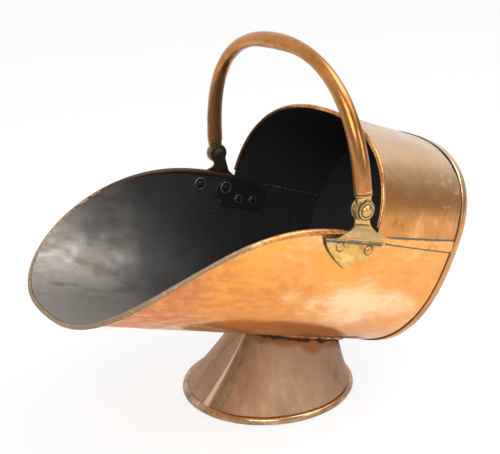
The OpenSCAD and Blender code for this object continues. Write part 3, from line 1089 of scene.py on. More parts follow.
@dataclass
class Shells:
    """The bowl and the hood, the two sheets of the body."""

    form: BodyForm
    riveted_band: float = 40.0
    seamed_band: float = 12.0
    easing: float = 20.0
    hammered_from: float = 50.0
    # The band of painted sheen on the hood's shoulders: its height and half width
    shoulder: tuple[float, float] = (62.0, 26.0)
    glint: float = 0.45
    # Painted shade towards the bowl's lip: where it starts and how strong it is
    lip_shade_from: float = -130.0
    lip_shade_amount: float = 0.45
    # Painted highlight on the bowl's swell, and painted reflection of the floor under its lip
    sheen_at: tuple[float, float] = (-15.0, 136.0)
    sheen_size: tuple[float, float] = (110.0, 34.0)
    floor_reflection_from: float = -95.0
    # A dark wavy patch painted round the collar: its radius and how far below the seams it starts
    dark_patch_r: float = 92.0
    dark_patch_drop: float = 95.0

    def bowl(self) -> None:
        """Builds the bowl with its long scoop lip."""
        bm = new_mesh()
        form = self.form

        def place(across: float, along: float) -> Vector:
            """Returns a point of the bowl, from its seams' sides to its rim.

            Args:
                across: The share of the way across, from 0 to 1.
                along: The share of the way along.

            Returns:
                The place in the scene's frame.
            """
            angle = form.bowl_angle(across)
            back = form.back_at(form.bowl_point(angle, form.back_y).z)
            return form.to_row(form.bowl_point(angle, back + (form.rim_y(angle) - back) * along))

        mapped_sheet(bm, across=150, along=72, place=place)
        face_away(bm, form.axis_at)
        dent(bm, size_mm=46.0, depth_mm=0.7, seed=3.1, keep=self.free_sheet)
        # A dark wavy patch painted on the bowl round the collar
        paint(bm, self.dark_collar_patch)
        # Painted shade: a redder, darker copper towards the lip
        paint(bm, self.painted_lip_shade, SOOT_AND_SHADE)
        # Painted highlight on the swell and painted reflection under the lip
        paint(bm, self.painted_bowl_sheen, RUB_AND_HIGHLIGHT)
        give_thickness(bm, form.sheet, inner_slot=1)
        looks = (Finish.BOWL, Finish.INSIDE)
        Piece("bowl_shell", bm, looks, Slot.BRIGHT_COPPER, ("bowl",)).add()

    def free_sheet(self, point: Vector) -> float:
        """Returns nothing where rivets and strips hold the bowl, and one well below them."""
        below = self.form.seam_h - self.riveted_band - self.form.to_body(point).z
        return held(below / self.easing)

    def free_hood(self, point: Vector) -> float:
        """Returns nothing along the hood's side strips, and one well above them."""
        above = self.form.to_body(point).z - self.form.seam_h - self.seamed_band
        return held(above / self.easing)

    def hammered(self, point: Vector) -> float:
        """Returns how much the hood was worked beside the back plate's turned edge."""
        along = self.form.to_body(point).y - self.hammered_from
        return self.free_hood(point) * held(along / 25)

    def painted_hood_glints(self, vert: Any) -> float:
        """Returns painted sheen on the hood's shoulders and painted glints on its dents' crests.

        Args:
            vert: The vertex.

        Returns:
            The mark's amount, held between 0 and 1 by paint.
        """
        height, width = self.shoulder
        above = self.form.to_body(vert.co).z - self.form.seam_h
        shoulder = 0.26 * (1 - abs(above - height) / width)
        crests = min(self.glint, (noise.noise(vert.co * 140) - 0.22) * 3)
        return max(shoulder, self.hammered(vert.co) * crests)

    def painted_lip_shade(self, vert: Any) -> float:
        """Returns painted shade, a redder and darker copper, towards the bowl's lip."""
        along = (self.lip_shade_from - self.form.to_body(vert.co).y) / 80
        return self.lip_shade_amount * min(1.0, along)

    def painted_bowl_sheen(self, vert: Any) -> float:
        """Returns a painted highlight on the bowl's swell and a painted reflection under its lip.

        Args:
            vert: The vertex.

        Returns:
            The mark's amount, held between 0 and 1 by paint.
        """
        place = self.form.to_body(vert.co)
        along = (place.y - self.sheen_at[0]) / self.sheen_size[0]
        away = math.hypot(along, (place.z - self.sheen_at[1]) / self.sheen_size[1])
        # Painted highlight on the swell
        swell = 0.52 - 0.5 * away * away + 0.25 * noise.noise(vert.co * 40)
        # Painted reflection of the pale floor where the lip's underside looks down
        looks_down = (-0.62 - vert.normal.z) / 0.2
        under = 0.5 * min(1.0, (self.floor_reflection_from - place.y) / 50, looks_down)
        return max(swell, under)

    def dark_collar_patch(self, vert: Any) -> float:
        """Returns how dark the bowl is round the soldered collar, in a wavy patch.

        Args:
            vert: The vertex.

        Returns:
            The mark's amount, held between 0 and 1 by paint.
        """
        point = vert.co
        place = self.form.to_body(point)
        if place.z > self.form.seam_h - self.dark_patch_drop:
            return 0.0
        away = math.hypot(place.x, place.y - self.form.neck_y)
        wave = 8 * noise.noise(point * 38) + 6 * noise.noise(point * 110)
        return (self.dark_patch_r + wave - away) / 12

    def hood(self) -> None:
        """Builds the hood over the back half of the body."""
        bm = new_mesh()
        form = self.form

        def place(across: float, along: float) -> Vector:
            """Returns a point of the hood, from its arch to its back.

            Args:
                across: The share of the way across, from 0 to 1.
                along: The share of the way along.

            Returns:
                The place in the scene's frame.
            """
            angle = math.pi * across
            back = form.back_at(form.hood_point(angle, form.back_y).z)
            return form.to_row(form.hood_point(angle, form.arch_y + (back - form.arch_y) * along))

        mapped_sheet(bm, across=120, along=44, place=place)
        face_away(bm, form.axis_at)
        dent(bm, size_mm=34.0, depth_mm=0.9, seed=7.7, keep=self.free_hood)
        dent(bm, size_mm=10.0, depth_mm=0.35, seed=2.3, keep=self.hammered)
        # Painted sheen on the shoulders and painted glints on the dents' crests
        paint(bm, self.painted_hood_glints, RUB_AND_HIGHLIGHT)
        give_thickness(bm, form.sheet, inner_slot=1)
        looks = (Finish.HOOD, Finish.INSIDE)
        Piece("hood_shell", bm, looks, Slot.BROWN_COPPER, ("hood",)).add()


@dataclass
class WiredEdges:
    """The rolled edges of the rim and of the hood's arch."""

    form: BodyForm
    rim_r: float = 3.5
    rim_out: float = 0.7
    slimmer: float = 1.2
    slim_from: float = -110.0
    brown_from: float = -125.0
    lip_y: float = -235.0
    hood_r: float = 2.5
    unevenness: float = 0.12
    crease: float = 0.22
    sides: int = 24

    def roll(self, path: list[Vector], thick: list[float], side: Vector, name: str, slot: Slot,
             node: str, tuck: float) -> None:
        """Rolls an edge along a path.

        Args:
            path: Middle line in the body's frame.
            thick: The roll's radius at each point of it.
            side: A direction that the path never runs along, in the body's frame.
            name: Name of the piece.
            slot: Its slot in the record.
            node: The node it stands for.
            tuck: Where the crease lies round the roll, in degrees.
        """
        bm = new_mesh()
        line = [self.form.to_row(point) for point in path]
        radii = [
            (r - self.unevenness * abs(noise.noise(point * 60))) * MM
            for r, point in zip(thick, line)
        ]
        turned = Matrix.Rotation(-self.form.tilt, 3, "X") @ side
        place = bar_place(line, radii, self.sides, turned, self.crease, tuck)
        cap(bm, *loft(bm, self.sides, len(line), place))
        face_out(bm)
        tag = bm.verts.layers.int[COLUMN]

        def dirt(vert: Any) -> float:
            """Returns painted shade in the crease, and soot and painted shade on the inner side."""
            crease = 1.2 - abs(360 * vert[tag] / self.sides - tuck) / 14
            return max(crease, self.inner_dirt(vert))

        # Painted shade in the crease, and soot and painted shade on the inner side
        paint(bm, dirt, SOOT_AND_SHADE)
        paint(bm, self.browned)
        Piece(name, bm, (Finish.WIRE,), slot, (node,), sharp=60).add()

    def inner_dirt(self, vert: Any) -> float:
        """Returns soot and painted shade on the roll's inner side, most of all on the far side.

        Args:
            vert: The vertex.

        Returns:
            The mark's amount, held between 0 and 1 by paint.
        """
        inwards = vert.normal.dot((self.form.axis_at(vert.co) - vert.co).normalized())
        place = self.form.to_body(vert.co)
        behind_lip = held((place.y - self.lip_y) / 60)
        shaded = held((-place.x - 20) / 60) * behind_lip
        clean = 0.35 - 0.75 * shaded
        return (0.25 + 0.6 * shaded) * min(1.0, (inwards - clean) / 0.3)

    def browned(self, vert: Any) -> float:
        """Returns how brown the roll has gone, from nothing by the brackets to the whole lip."""
        return min(0.7, (self.brown_from - self.form.to_body(vert.co).y) / 90)

    def slim(self, y: float) -> float:
        """Returns how far the roll has slimmed down, from nothing by the brackets to the lip."""
        return held((self.slim_from - y) / 90)

    def rim(self) -> None:
        """Rolls the rim from one foot of the arch round the lip to the other."""
        form = self.form
        steps = 180
        start = [
            Vector((form.mouth_half + self.rim_out, y, form.seam_h))
            for y in (form.arch_y - 3, (form.arch_y + form.crest_y) / 2)
        ]
        angles = [form.bowl_angle(step / steps) for step in range(steps + 1)]
        lip = []
        for angle in angles:
            slim = self.slimmer * self.slim(form.rim_y(angle))
            lip.append(form.bowl_point(angle, form.rim_y(angle) - slim / 3, self.rim_out + slim))
        end = [Vector((-point.x, point.y, point.z)) for point in reversed(start)]
        path = start + lip + end
        thick = [self.rim_r - self.slimmer * self.slim(point.y) for point in path]
        up = Vector((0, 0, 1))
        self.roll(path, thick, up, "rim_roll", Slot.BRIGHT_COPPER, "rim_bead", tuck=205.0)

    def arch(self) -> None:
        """Rolls the front edge of the hood."""
        form = self.form
        angles = [math.radians(5 + 170 * step / 120) for step in range(121)]
        path = [form.hood_point(angle, form.arch_y, -form.sheet / 2) for angle in angles]
        thick = [self.hood_r] * len(path)
        along = Vector((0, 1, 0))
        self.roll(path, thick, along, "hood_roll", Slot.BROWN_COPPER, "hood_bead", tuck=325.0)


@dataclass
class BackPan:
    """The domed back plate, its edge knocked down over the body."""

    form: BodyForm
    pan_w: float = 8.0
    dome: float = 5.0
    gap: float = 0.05
    columns: int = 240

    def edge(self, column: int, out: float, y: float) -> Vector:
        """Gives a point of the plate's outline.

        Args:
            column: Its number round the outline.
            out: How far it lies outside the body.
            y: Its place along the body, at the height of the side seams.

        Returns:
            The point in the body's frame.
        """
        form = self.form
        half = self.columns // 2
        if column < half:
            section, angle = form.hood_point, math.pi * column / half
        else:
            section, angle = form.bowl_point, form.bowl_angle(2 - column / half)
        lean = form.back_at(section(angle, form.back_y, out).z) - form.back_y
        return section(angle, y + lean, out)

    def build(self) -> None:
        """Builds the plate."""
        form = self.form
        middle = form.seam_h - (form.back_depth - form.hood_back_h) / 2
        outer = form.back_y + form.sheet + self.gap
        shares = (0.06, 0.2, 0.35, 0.5, 0.62, 0.74, 0.84, 0.92, 0.965)
        turned = (
            (0.2, form.back_y + form.sheet),
            (0.9, form.back_y + form.sheet * 0.85),
            (form.sheet, form.back_y + form.sheet / 3),
            (form.sheet, form.back_y - self.pan_w / 2),
            (form.sheet, form.back_y - self.pan_w + 1.6),
            (form.sheet * 0.6, form.back_y - self.pan_w + 0.5),
            (self.gap, form.back_y - self.pan_w),
            (self.gap, form.back_y + self.gap),
        )

        def domed(share: float, column: int, y: float) -> Vector:
            """Returns a point of the domed disc.

            Args:
                share: How far out it lies, as a share of the rim's distance.
                column: Number of the vertex in its ring.
                y: Place along the body of the disc's rim.

            Returns:
                The point in the body's frame.
            """
            rim = self.edge(column, 0.0, form.back_y)
            z = middle + (rim.z - middle) * share
            bulge = self.dome * (1 - share * share)
            return Vector((rim.x * share, y + form.back_at(z) - form.back_y + bulge, z))

        def place(row: int, column: int) -> Vector:
            """Returns a vertex's place on the disc's face, its turned edge or its inner face.

            Args:
                row: Number of the ring.
                column: Number of the vertex in it.

            Returns:
                The place in the scene's frame.
            """
            if row < len(shares):
                point = domed(shares[row], column, outer)
            elif row < len(shares) + len(turned):
                out, y = turned[row - len(shares)]
                knock = 0.35 * max(0.0, noise.noise(self.edge(column, 0.0, y) / 16.0))
                point = self.edge(column, out - knock if out > 1 else out, y)
            else:
                number = 2 * len(shares) + len(turned) - 1 - row
                point = domed(shares[number], column, form.back_y + self.gap)
            return form.to_row(point)

        bm = new_mesh()
        cap(bm, *loft(bm, self.columns, 2 * len(shares) + len(turned), place))
        face_out(bm)
        self.tin_inside(bm)
        paint(bm, self.tarnish)
        looks = (Finish.HOOD, Finish.INSIDE)
        Piece("back_pan", bm, looks, Slot.BROWN_COPPER, ("back_plate",)).add()

    def upright(self, point: Vector) -> float:
        """Returns a point's place along the body, with the plate's lean taken out."""
        place = self.form.to_body(point)
        return place.y - (self.form.back_at(place.z) - self.form.back_y)

    def tin_inside(self, bm: bmesh.types.BMesh) -> None:
        """Gives the plate's inner face the finish of the inside.

        Args:
            bm: The plate's mesh.
        """
        outer = self.form.back_y + 1.0 + self.dome
        to_body = Matrix.Rotation(self.form.tilt, 3, "X")
        for face in bm.faces:
            looks_in = (to_body @ face.normal).y < -0.6
            if looks_in and self.upright(face.calc_center_median()) < outer:
                face.material_index = 1

    def tarnish(self, vert: Any) -> float:
        """Returns how dark the crease in front of the turned edge is."""
        front = self.upright(vert.co) - (self.form.back_y - self.pan_w)
        return 0.6 if front < 0.1 else 0.0


@dataclass
class SideStrips:
    """The strips soldered over the side seams."""

    form: BodyForm
    thickness: float = 1.3
    back_gap: float = 8.5
    fillet: float = 1.2
    bead_from: float = 20.0
    bead_r: float = 0.9
    bead_sides: int = 10
    bead_soot: float = 0.42

    def proud(self, level: float, half: float) -> float:
        """Gives the height of the strip and of the solder beside it.

        Args:
            level: Distance from the strip's middle line.
            half: Half of the strip's width.

        Returns:
            How far the surface stands out from the sheet.
        """
        if level > half:
            return self.thickness * 0.45 * (1 - (level - half) / self.fillet) + 0.05
        return self.thickness * (0.6 + 0.4 * (1 - (level / half) ** 4))

    def build(self, side: Side) -> None:
        """Builds one strip with its solder, the edges slightly wavy and the back crowned.

        Args:
            side: The hand of the strip.
        """
        form = self.form
        length = form.back_y - self.back_gap - form.strip_front

        def place(across: float, along: float) -> Vector:
            """Returns a point of the strip, with its solder at both edges.

            Args:
                across: The share of the way across, from 0 to 1.
                along: The share of the way along.

            Returns:
                The place in the scene's frame.
            """
            y = form.strip_front + length * along
            low, high = form.strip_edges(y)
            half = (high - low) / 2
            level = (2 * across - 1) * (half + self.fillet)
            wave = 0.4 * noise.noise(Vector((y / 9, across, side.value * 3.0)))
            z = (low + high) / 2 + level + wave * (2 * across - 1)
            run_in = min(1.0, 0.1 + along * length / 8)
            out = form.side_x(y, z) + self.proud(abs(level), half) * run_in
            return form.beside(side, out, y, z)

        bm = new_mesh()
        mapped_sheet(bm, across=18, along=60, place=place)
        face_away(bm, form.axis_at)
        paint(bm, self.soldered)
        give_thickness(bm, self.thickness * 0.95)
        self.bead(bm, side)
        name, node = f"side_strip_{side.label}", f"side_seam_{side.label}"
        Piece(name, bm, (Finish.SEAM, Finish.TIN), Slot.BRIGHT_COPPER, (node,)).add()

    def bead(self, bm: bmesh.types.BMesh, side: Side) -> None:
        """Runs a thin bead of solder along the seam's inner side, behind the lap plate.

        Args:
            bm: The mesh to add to.
            side: The hand of the seam.
        """
        form = self.form
        steps = 24
        line = []
        for step in range(steps + 1):
            y = self.bead_from + (form.back_y - 2 - self.bead_from) * step / steps
            x = form.side_x(y, form.seam_h - 1) - form.sheet - self.bead_r / 3
            line.append(form.beside(side, x, y, form.seam_h - 1))
        before = set(bm.faces)
        radii = [self.bead_r * MM] * len(line)
        place = bar_place(line, radii, self.bead_sides, Vector((0, 0, 1)))
        cap(bm, *loft(bm, self.bead_sides, len(line), place))
        face_out(bm)
        for face in bm.faces:
            if face not in before:
                face.material_index = 1
                paint(bm, lambda vert: self.bead_soot, SOOT_AND_SHADE, face.verts)

    def soldered(self, vert: Any) -> float:
        """Returns how green the strip is, most of all in the solder along its edges.

        Args:
            vert: The vertex.

        Returns:
            The mark's amount, held between 0 and 1 by paint.
        """
        place = self.form.to_body(vert.co)
        low, high = self.form.strip_edges(place.y)
        return 1.1 - min(place.z - low, high - place.z) / 0.9


@dataclass
class LapPlates:
    """The plates inside the front corners of the hood."""

    form: BodyForm
    span: tuple[float, float] = (-44.0, 26.0)
    z_mid: float = 191.0
    radius: float = 17.0
    gap: float = 0.25
    thickness: float = 1.2

    def build(self, side: Side) -> None:
        """Builds one plate with round ends.

        Args:
            side: The hand of the plate.
        """
        form = self.form
        start, end = self.span

        def place(across: float, along: float) -> Vector:
            """Returns a point of the plate, against the bowl's inner face.

            Args:
                across: The share of the way across, from 0 to 1.
                along: The share of the way along.

            Returns:
                The place in the scene's frame.
            """
            y = start + (end - start) * (1 - math.cos(math.pi * along)) / 2
            past = max(0.0, start + self.radius - y, y - end + self.radius)
            reach = math.sqrt(max(0.3, self.radius**2 - past**2))
            z = self.z_mid + reach * (2 * across - 1)
            inside = form.sheet + self.gap
            return form.beside(side, form.side_x(y, z) - inside, y, z)

        bm = new_mesh()
        mapped_sheet(bm, across=16, along=48, place=place)
        face_away(bm, form.axis_at)
        worn_y = start + self.radius * 0.6
        worn = {vert for vert in bm.verts if vert.is_boundary and form.to_body(vert.co).y < worn_y}
        paint(bm, lambda vert: 0.0 if vert in worn else 1.0, SOOT_AND_SHADE)
        give_thickness(bm, self.thickness)
        name, node = f"lap_patch_{side.label}", f"lap_plate_{side.label}"
        Piece(name, bm, (Finish.TIN,), Slot.INSIDE, (node,)).add()


@dataclass
class Foot:
    """The flared foot with its lap seam, its wired edge and the solder that holds it."""

    form: BodyForm
    diameter: float = 194.0
    neck_d: float = 118.0
    flare: float = 1.3
    bead_d: float = 9.0
    flattened: float = 0.5
    collar_w: float = 8.0
    lap_at: float = 279.0
    lap_edge: float = 3.2
    lap_crest: tuple[float, float, float] = (2.4, 1.2, 0.6)
    patch_past: float = 32.0
    shadow_span: tuple[float, float] = (3.0, 26.0)
    neck_gap: float = 1.2
    side_h: float = 70.0
    side_shift: float = 10.0
    columns: int = 288
    rows: int = 36
    crowding: float = 1.6

    def neck(self, angle: float, out: float) -> Vector:
        """Gives a point where the foot meets the bowl.

        Args:
            angle: Round the foot.
            out: How far outside the sheet's middle.

        Returns:
            The point in the row's frame, in millimetres.
        """
        r = self.neck_d / 2 + out
        x = r * math.cos(angle)
        y = self.form.neck_y + r * math.sin(angle)
        return self.form.to_row(Vector((x, y, self.form.under_z(x, y) - self.neck_gap))) / MM

    def lap(self, angle: float) -> float:
        """Returns how proud the lap seam stands at an angle: a slow rise and a sharp fall.

        Args:
            angle: Round the foot.

        Returns:
            How far it stands out, in millimetres.
        """
        past = (math.degrees(angle) - self.lap_at + 180) % 360 - 180
        if past > self.lap_edge:
            return max(0.0, 1.5 - (past - self.lap_edge) / 0.9)
        middle, width, height = self.lap_crest
        crest = height * math.exp(-(((past - middle) / width) ** 2))
        return held((past + 9) / 8) + crest

    def side(self) -> None:
        """Builds the flared side."""

        def place(row: int, column: int) -> Vector:
            """Returns a vertex's place, from the wired edge up to the neck.

            Args:
                row: Number of the ring.
                column: Number of the vertex in it.

            Returns:
                The place in the scene's frame.
            """
            share = 1 - (1 - row / (self.rows - 1)) ** self.crowding
            angle = 2 * math.pi * column / self.columns
            ripple = 0.5 * noise.noise(Vector((math.cos(angle) * 5, math.sin(angle) * 5, share)))
            out = self.form.sheet / 2 + self.lap(angle) + ripple * math.sin(math.pi * share) - 0.1
            top = self.neck(angle, out)
            r = self.diameter / 2 - self.bead_d / 2 + 1 + out
            near = (1 - share) ** self.flare
            x = top.x + (r * math.cos(angle) - top.x) * near
            y = top.y + (r * math.sin(angle) - top.y) * near
            z = self.bead_d / 2 + (top.z - self.bead_d / 2) * share
            return Vector((x, y, z)) * MM

        bm = new_mesh()
        loft(bm, self.columns, self.rows, place)
        face_away(bm, lambda point: Vector((0, 0, point.z)))
        paint(bm, self.burnt)
        # Painted shade beside the lap seam and under the bowl
        paint(bm, self.shadow, SOOT_AND_SHADE)
        # Painted highlight on the lap seam's crest
        paint(bm, self.crest, RUB_AND_HIGHLIGHT)
        give_thickness(bm, self.form.sheet)
        Piece("foot_side", bm, (Finish.FOOT,), Slot.FOOT_COPPER, ("foot",)).add()

    def height(self, point: Vector) -> float:
        """Returns a scene point's height as a share of the foot's, held at one above it."""
        return min(1.0, point.z / MM / self.side_h)

    def past_lap(self, point: Vector) -> float:
        """Returns how many degrees round the foot a point of the scene lies past the lap seam.

        Args:
            point: A point of the scene.

        Returns:
            The angle, from -180 to 180.
        """
        middle = self.height(point) * self.side_shift
        angle = math.atan2(point.y / MM - middle, point.x / MM)
        return (math.degrees(angle) - self.lap_at + 180) % 360 - 180

    def crest(self, vert: Any) -> float:
        """Returns the painted highlight on the lap seam's crest, strongest near the foot's edge.

        Args:
            vert: The vertex.

        Returns:
            The mark's amount, held between 0 and 1 by paint.
        """
        height = self.height(vert.co)
        away = abs(self.past_lap(vert.co) - 0.8)
        return 1.0 - 0.35 * height - away / (4.6 - 1.8 * height)

    def below_neck(self, point: Vector) -> tuple[float, Vector]:
        """Returns how far a point lies below the bowl, and its direction round the foot.

        Args:
            point: A point of the scene.

        Returns:
            The depth in millimetres, and a vector of length one.
        """
        place = self.form.to_body(point)
        angle = math.atan2(place.y - self.form.neck_y, place.x)
        depth = self.form.under_z(place.x, place.y) - place.z
        return depth, Vector((math.cos(angle), math.sin(angle), 0))

    def shadow(self, vert: Any) -> float:
        """Returns painted shade beside the lap seam and under the bowl, in a line and a patch.

        Args:
            vert: The vertex.

        Returns:
            The mark's amount, held between 0 and 1 by paint.
        """
        past = self.past_lap(vert.co)
        depth, way = self.below_neck(vert.co)
        line = 1.0 + 0.4 * noise.noise(way * 6) - depth / 8
        patch = min(1.1, 3.2 - abs(past - self.patch_past) / 4.5) - depth / 9
        start, end = self.shadow_span
        beside = 0.26 * min(1.0, (past - start) / 2, (end - past) / 12)
        return max(beside, line, patch)

    def burnt(self, vert: Any) -> float:
        """Returns how burnt orange the foot is under the solder, in a ragged band."""
        depth, way = self.below_neck(vert.co)
        return 0.6 - (depth - 8 - 10 * noise.noise(way * 3.5)) / 16

    def bead(self) -> None:
        """Spins the wired edge, knocks it slightly uneven and cuts it flat where it rests."""
        bm = new_mesh()
        r = self.bead_d / 2
        ring = bmesh.ops.create_circle(bm, cap_ends=False, radius=r * MM, segments=20)["verts"]
        centre = Vector((self.diameter / 2 - r, 0, r - self.flattened)) * MM
        place = Matrix.Translation(centre) @ Matrix.Rotation(math.pi / 2, 4, "X")
        bmesh.ops.transform(bm, matrix=place, verts=ring)
        bmesh.ops.spin(
            bm,
            geom=bm.verts[:] + bm.edges[:],
            cent=(0, 0, 0),
            axis=(0, 0, 1),
            angle=2 * math.pi,
            steps=180,
            use_merge=True,
        )
        bmesh.ops.remove_doubles(bm, verts=bm.verts[:], dist=1e-6)
        face_out(bm)
        dent(bm, size_mm=18.0, depth_mm=0.5, seed=1.3)
        flat = bmesh.ops.bisect_plane(
            bm,
            geom=everything(bm),
            plane_co=(0, 0, 0),
            plane_no=(0, 0, -1),
            clear_outer=True,
        )["geom_cut"]
        bmesh.ops.bridge_loops(bm, edges=only(bmesh.types.BMEdge, flat))
        face_out(bm)
        Piece("foot_roll", bm, (Finish.FOOT_WIRE,), Slot.FOOT_COPPER, ("foot_bead",)).add()

    def collar(self) -> None:
        """Builds the lumpy solder between the neck and the bowl."""
        form = self.form
        inner = self.neck_d / 2
        section = (
            (inner - 2.0, -0.3),
            (inner - 2.0, 2.6),
            (inner + 0.4, 3.0),
            (inner + 2.4, 2.8),
            (inner + 4.4, 2.2),
            (inner + 6.2, 1.5),
            (inner + self.collar_w - 0.6, 0.8),
            (inner + self.collar_w, -0.3),
        )

        def place(row: int, column: int) -> Vector:
            """Returns a vertex's place on the collar's lumpy section.

            Args:
                row: Number of the ring.
                column: Number of the vertex in it.

            Returns:
                The place in the scene's frame.
            """
            r, drop = section[row]
            angle = 2 * math.pi * column / self.columns
            spot = Vector((math.cos(angle), math.sin(angle), 0)) * inner
            lump = 1 + 0.55 * noise.noise(spot / 7.0) + 0.3 * noise.noise(spot / 2.6)
            x = r * math.cos(angle)
            y = self.form.neck_y + r * math.sin(angle)
            proud = drop * lump if drop > 0 else drop
            return form.to_row(Vector((x, y, form.under_z(x, y) - proud)))

        bm = new_mesh()
        first, last = loft(bm, self.columns, len(section), place)
        bmesh.ops.bridge_loops(bm, edges=first + last)
        face_out(bm)
        paint(bm, self.flux, SOOT_AND_SHADE)
        Piece("foot_solder", bm, (Finish.SEAM,), Slot.FOOT_COPPER, ("foot_collar",)).add()

    def flux(self, vert: Any) -> float:
        """Returns how black the burnt flux is in the hollows of the solder."""
        return 0.45 + 1.6 * noise.noise(vert.co * 130)


@dataclass
class Brackets:
    """The riveted brass brackets that carry the bail."""

    form: BodyForm
    thickness: float = 3.2
    turn: float = math.radians(3.5)
    edge_drop: float = 1.2
    edge_w: float = 0.6
    ear_r: float = 11.0
    ear_lean: float = math.radians(28)
    ear_bevel: float = 0.7
    bead_x: float = 140.2
    plate_x: float = 139.65
    crease: float = 8.2
    crust_drop: float = 9.0
    crusted_to: float = -60.0
    rubbed_and_highlit: tuple[float, float] = (-4.0, 8.0)
    folds: tuple[float, ...] = (-6.7, -5.3, -4.1, -2.8, 0, 3, 6, -9, -12, -16, -20, -26, -32)

    def outline(self) -> list[Vector]:
        """Gives the bracket's outline: a shield below the fold, and a band over the rim.

        Returns:
            Its corners along the body and in height, in the body's frame.
        """
        shield = ((-90, 203.3), (-87, 195.6), (-80, 188), (-70.5, 180.5), (-58.5, 173))
        tongue = ((-44.7, 181.8), (-35.5, 185.4), (-29, 189.8), (-24, 195.2), (-17, 202.9))
        band = ((-22, 206.5), (-26, 211.5), (-31, 213.5), (-35.5, 217), (-37.5, 219.5))
        shoulder = ((-56.5, 219.5), (-57, 216.5), (-61.5, 213), (-70, 209), (-78.1, 204.5))
        return [Vector((0.0, y, z)) for y, z in shield + tongue + band + shoulder]

    def section(self, z: float) -> tuple[float, float]:
        """Gives the inner and the outer face of the bracket at a height.

        Args:
            z: Height in the body's frame.

        Returns:
            The two faces' distances from the body's middle.
        """
        seam = self.form.seam_h
        t = self.thickness
        inner = (
            (seam - 39, self.plate_x - 1.9),
            (seam - 20, self.plate_x - 0.3),
            (seam - 5, self.plate_x),
            (seam + 4, self.plate_x),
            (seam + 9.5, self.form.ear_x + 0.5),
        )
        outer = (
            (seam - 39, self.plate_x - 1.9 + t),
            (seam - 6.7, self.plate_x + t),
            (seam - 5.3, self.bead_x + 5.6),
            (seam - 4.1, self.bead_x + 6),
            (seam - 2.8, self.bead_x + 5.7),
            (seam + 6, self.plate_x + t),
            (seam + 9.5, self.form.ear_x + t),
        )
        return self.along(inner, z), self.along(outer, z)

    @staticmethod
    def along(line: Sequence[tuple[float, float]], z: float) -> float:
        """Returns the value of a broken line at a height.

        Args:
            line: Heights and values of its corners.
            z: The height.

        Returns:
            The value.
        """
        for (low, first), (high, second) in zip(line, line[1:]):
            if z <= high:
                return first + (second - first) * max(0.0, (z - low) / (high - low))
        return line[-1][1]

    def settle(self, point: Vector, side: Side) -> Vector:
        """Turns a bracket's point about the pivots and puts it on its side of the scuttle.

        Args:
            point: A point of the left bracket.
            side: The hand of the bracket.

        Returns:
            The point in the scene's frame.
        """
        pivot = Vector((0, self.form.pivot_y, self.form.pivot_h))
        turned = Matrix.Rotation(self.turn, 3, "X") @ (point - pivot) + pivot
        return self.form.beside(side, *turned)

    def plate(self, bm: bmesh.types.BMesh, side: Side) -> None:
        """Builds the plate, bends it over the rim and turns its edge down.

        Args:
            bm: The mesh to add to.
            side: The hand of the bracket.
        """
        face = bm.faces.new([bm.verts.new(point) for point in self.outline()])
        # The first ring has no width, so that the outline can turn down beside the second one
        for width in (0.0, self.edge_w):
            bmesh.ops.inset_region(
                bm, faces=[face], thickness=width, use_even_offset=True, use_boundary=True
            )
        seam = self.form.seam_h
        stain, soot, rub_and_highlight = (bm.verts.layers.float[mark] for mark in (STAIN, SOOT_AND_SHADE, RUB_AND_HIGHLIGHT))
        for vert in bm.verts:
            crust = 0.9 if vert.co.y < self.crusted_to else 0.35
            crust = 0.0 if vert in face.verts or vert.co.z > seam - self.crust_drop else crust
            vert[stain] = 1.0 if vert.is_boundary else crust
        for fold in self.folds:
            line = Vector((0, 0, seam + fold))
            bmesh.ops.bisect_plane(
                bm, geom=everything(bm), dist=MERGE, plane_co=line, plane_no=(0, 0, 1)
            )
        for vert in bm.verts:
            drop = self.edge_drop if vert.is_boundary else 0.0
            vert.co.x = self.section(vert.co.z)[1] - drop
            vert[stain] = max(vert[stain], 1 - abs(vert.co.z - (seam - self.crease)) / 2.1)
            vert[rub_and_highlight] = 0.6 if self.rubbed_and_highlit[0] < vert.co.z - seam < self.rubbed_and_highlit[1] else 0.0
        made = bmesh.ops.extrude_face_region(bm, geom=bm.faces[:])["geom"]
        back = only(bmesh.types.BMVert, made)
        for vert in back:
            vert.co.x = self.section(vert.co.z)[0] + 0.3
            vert[soot] = 1.0 if vert.co.z > seam else 0.0
        bmesh.ops.remove_doubles(bm, verts=back, dist=MERGE)
        for vert in bm.verts:
            vert.co = self.settle(vert.co, side)

    def rivet_rings(self, bm: bmesh.types.BMesh, side: Side) -> None:
        """Adds the crust of verdigris round each rivet's head.

        Args:
            bm: The mesh to add to.
            side: The hand of the bracket.
        """
        before = set(bm.verts)
        for y, z in self.form.bracket_rivets:
            x = self.section(z)[1]
            ring = ((x - 0.4, 4.6), (x + 0.3, 4.7), (x + 0.35, 5.2), (x - 0.4, 5.7))

            def put(point: Vector) -> Vector:
                """Puts a point of the ring on the bracket's face."""
                return self.form.beside(side, point.x, point.y + y, point.z + z)

            turn_part(bm, ring, put, closed=True)
        paint(bm, lambda vert: 1.0, STAIN, set(bm.verts) - before)

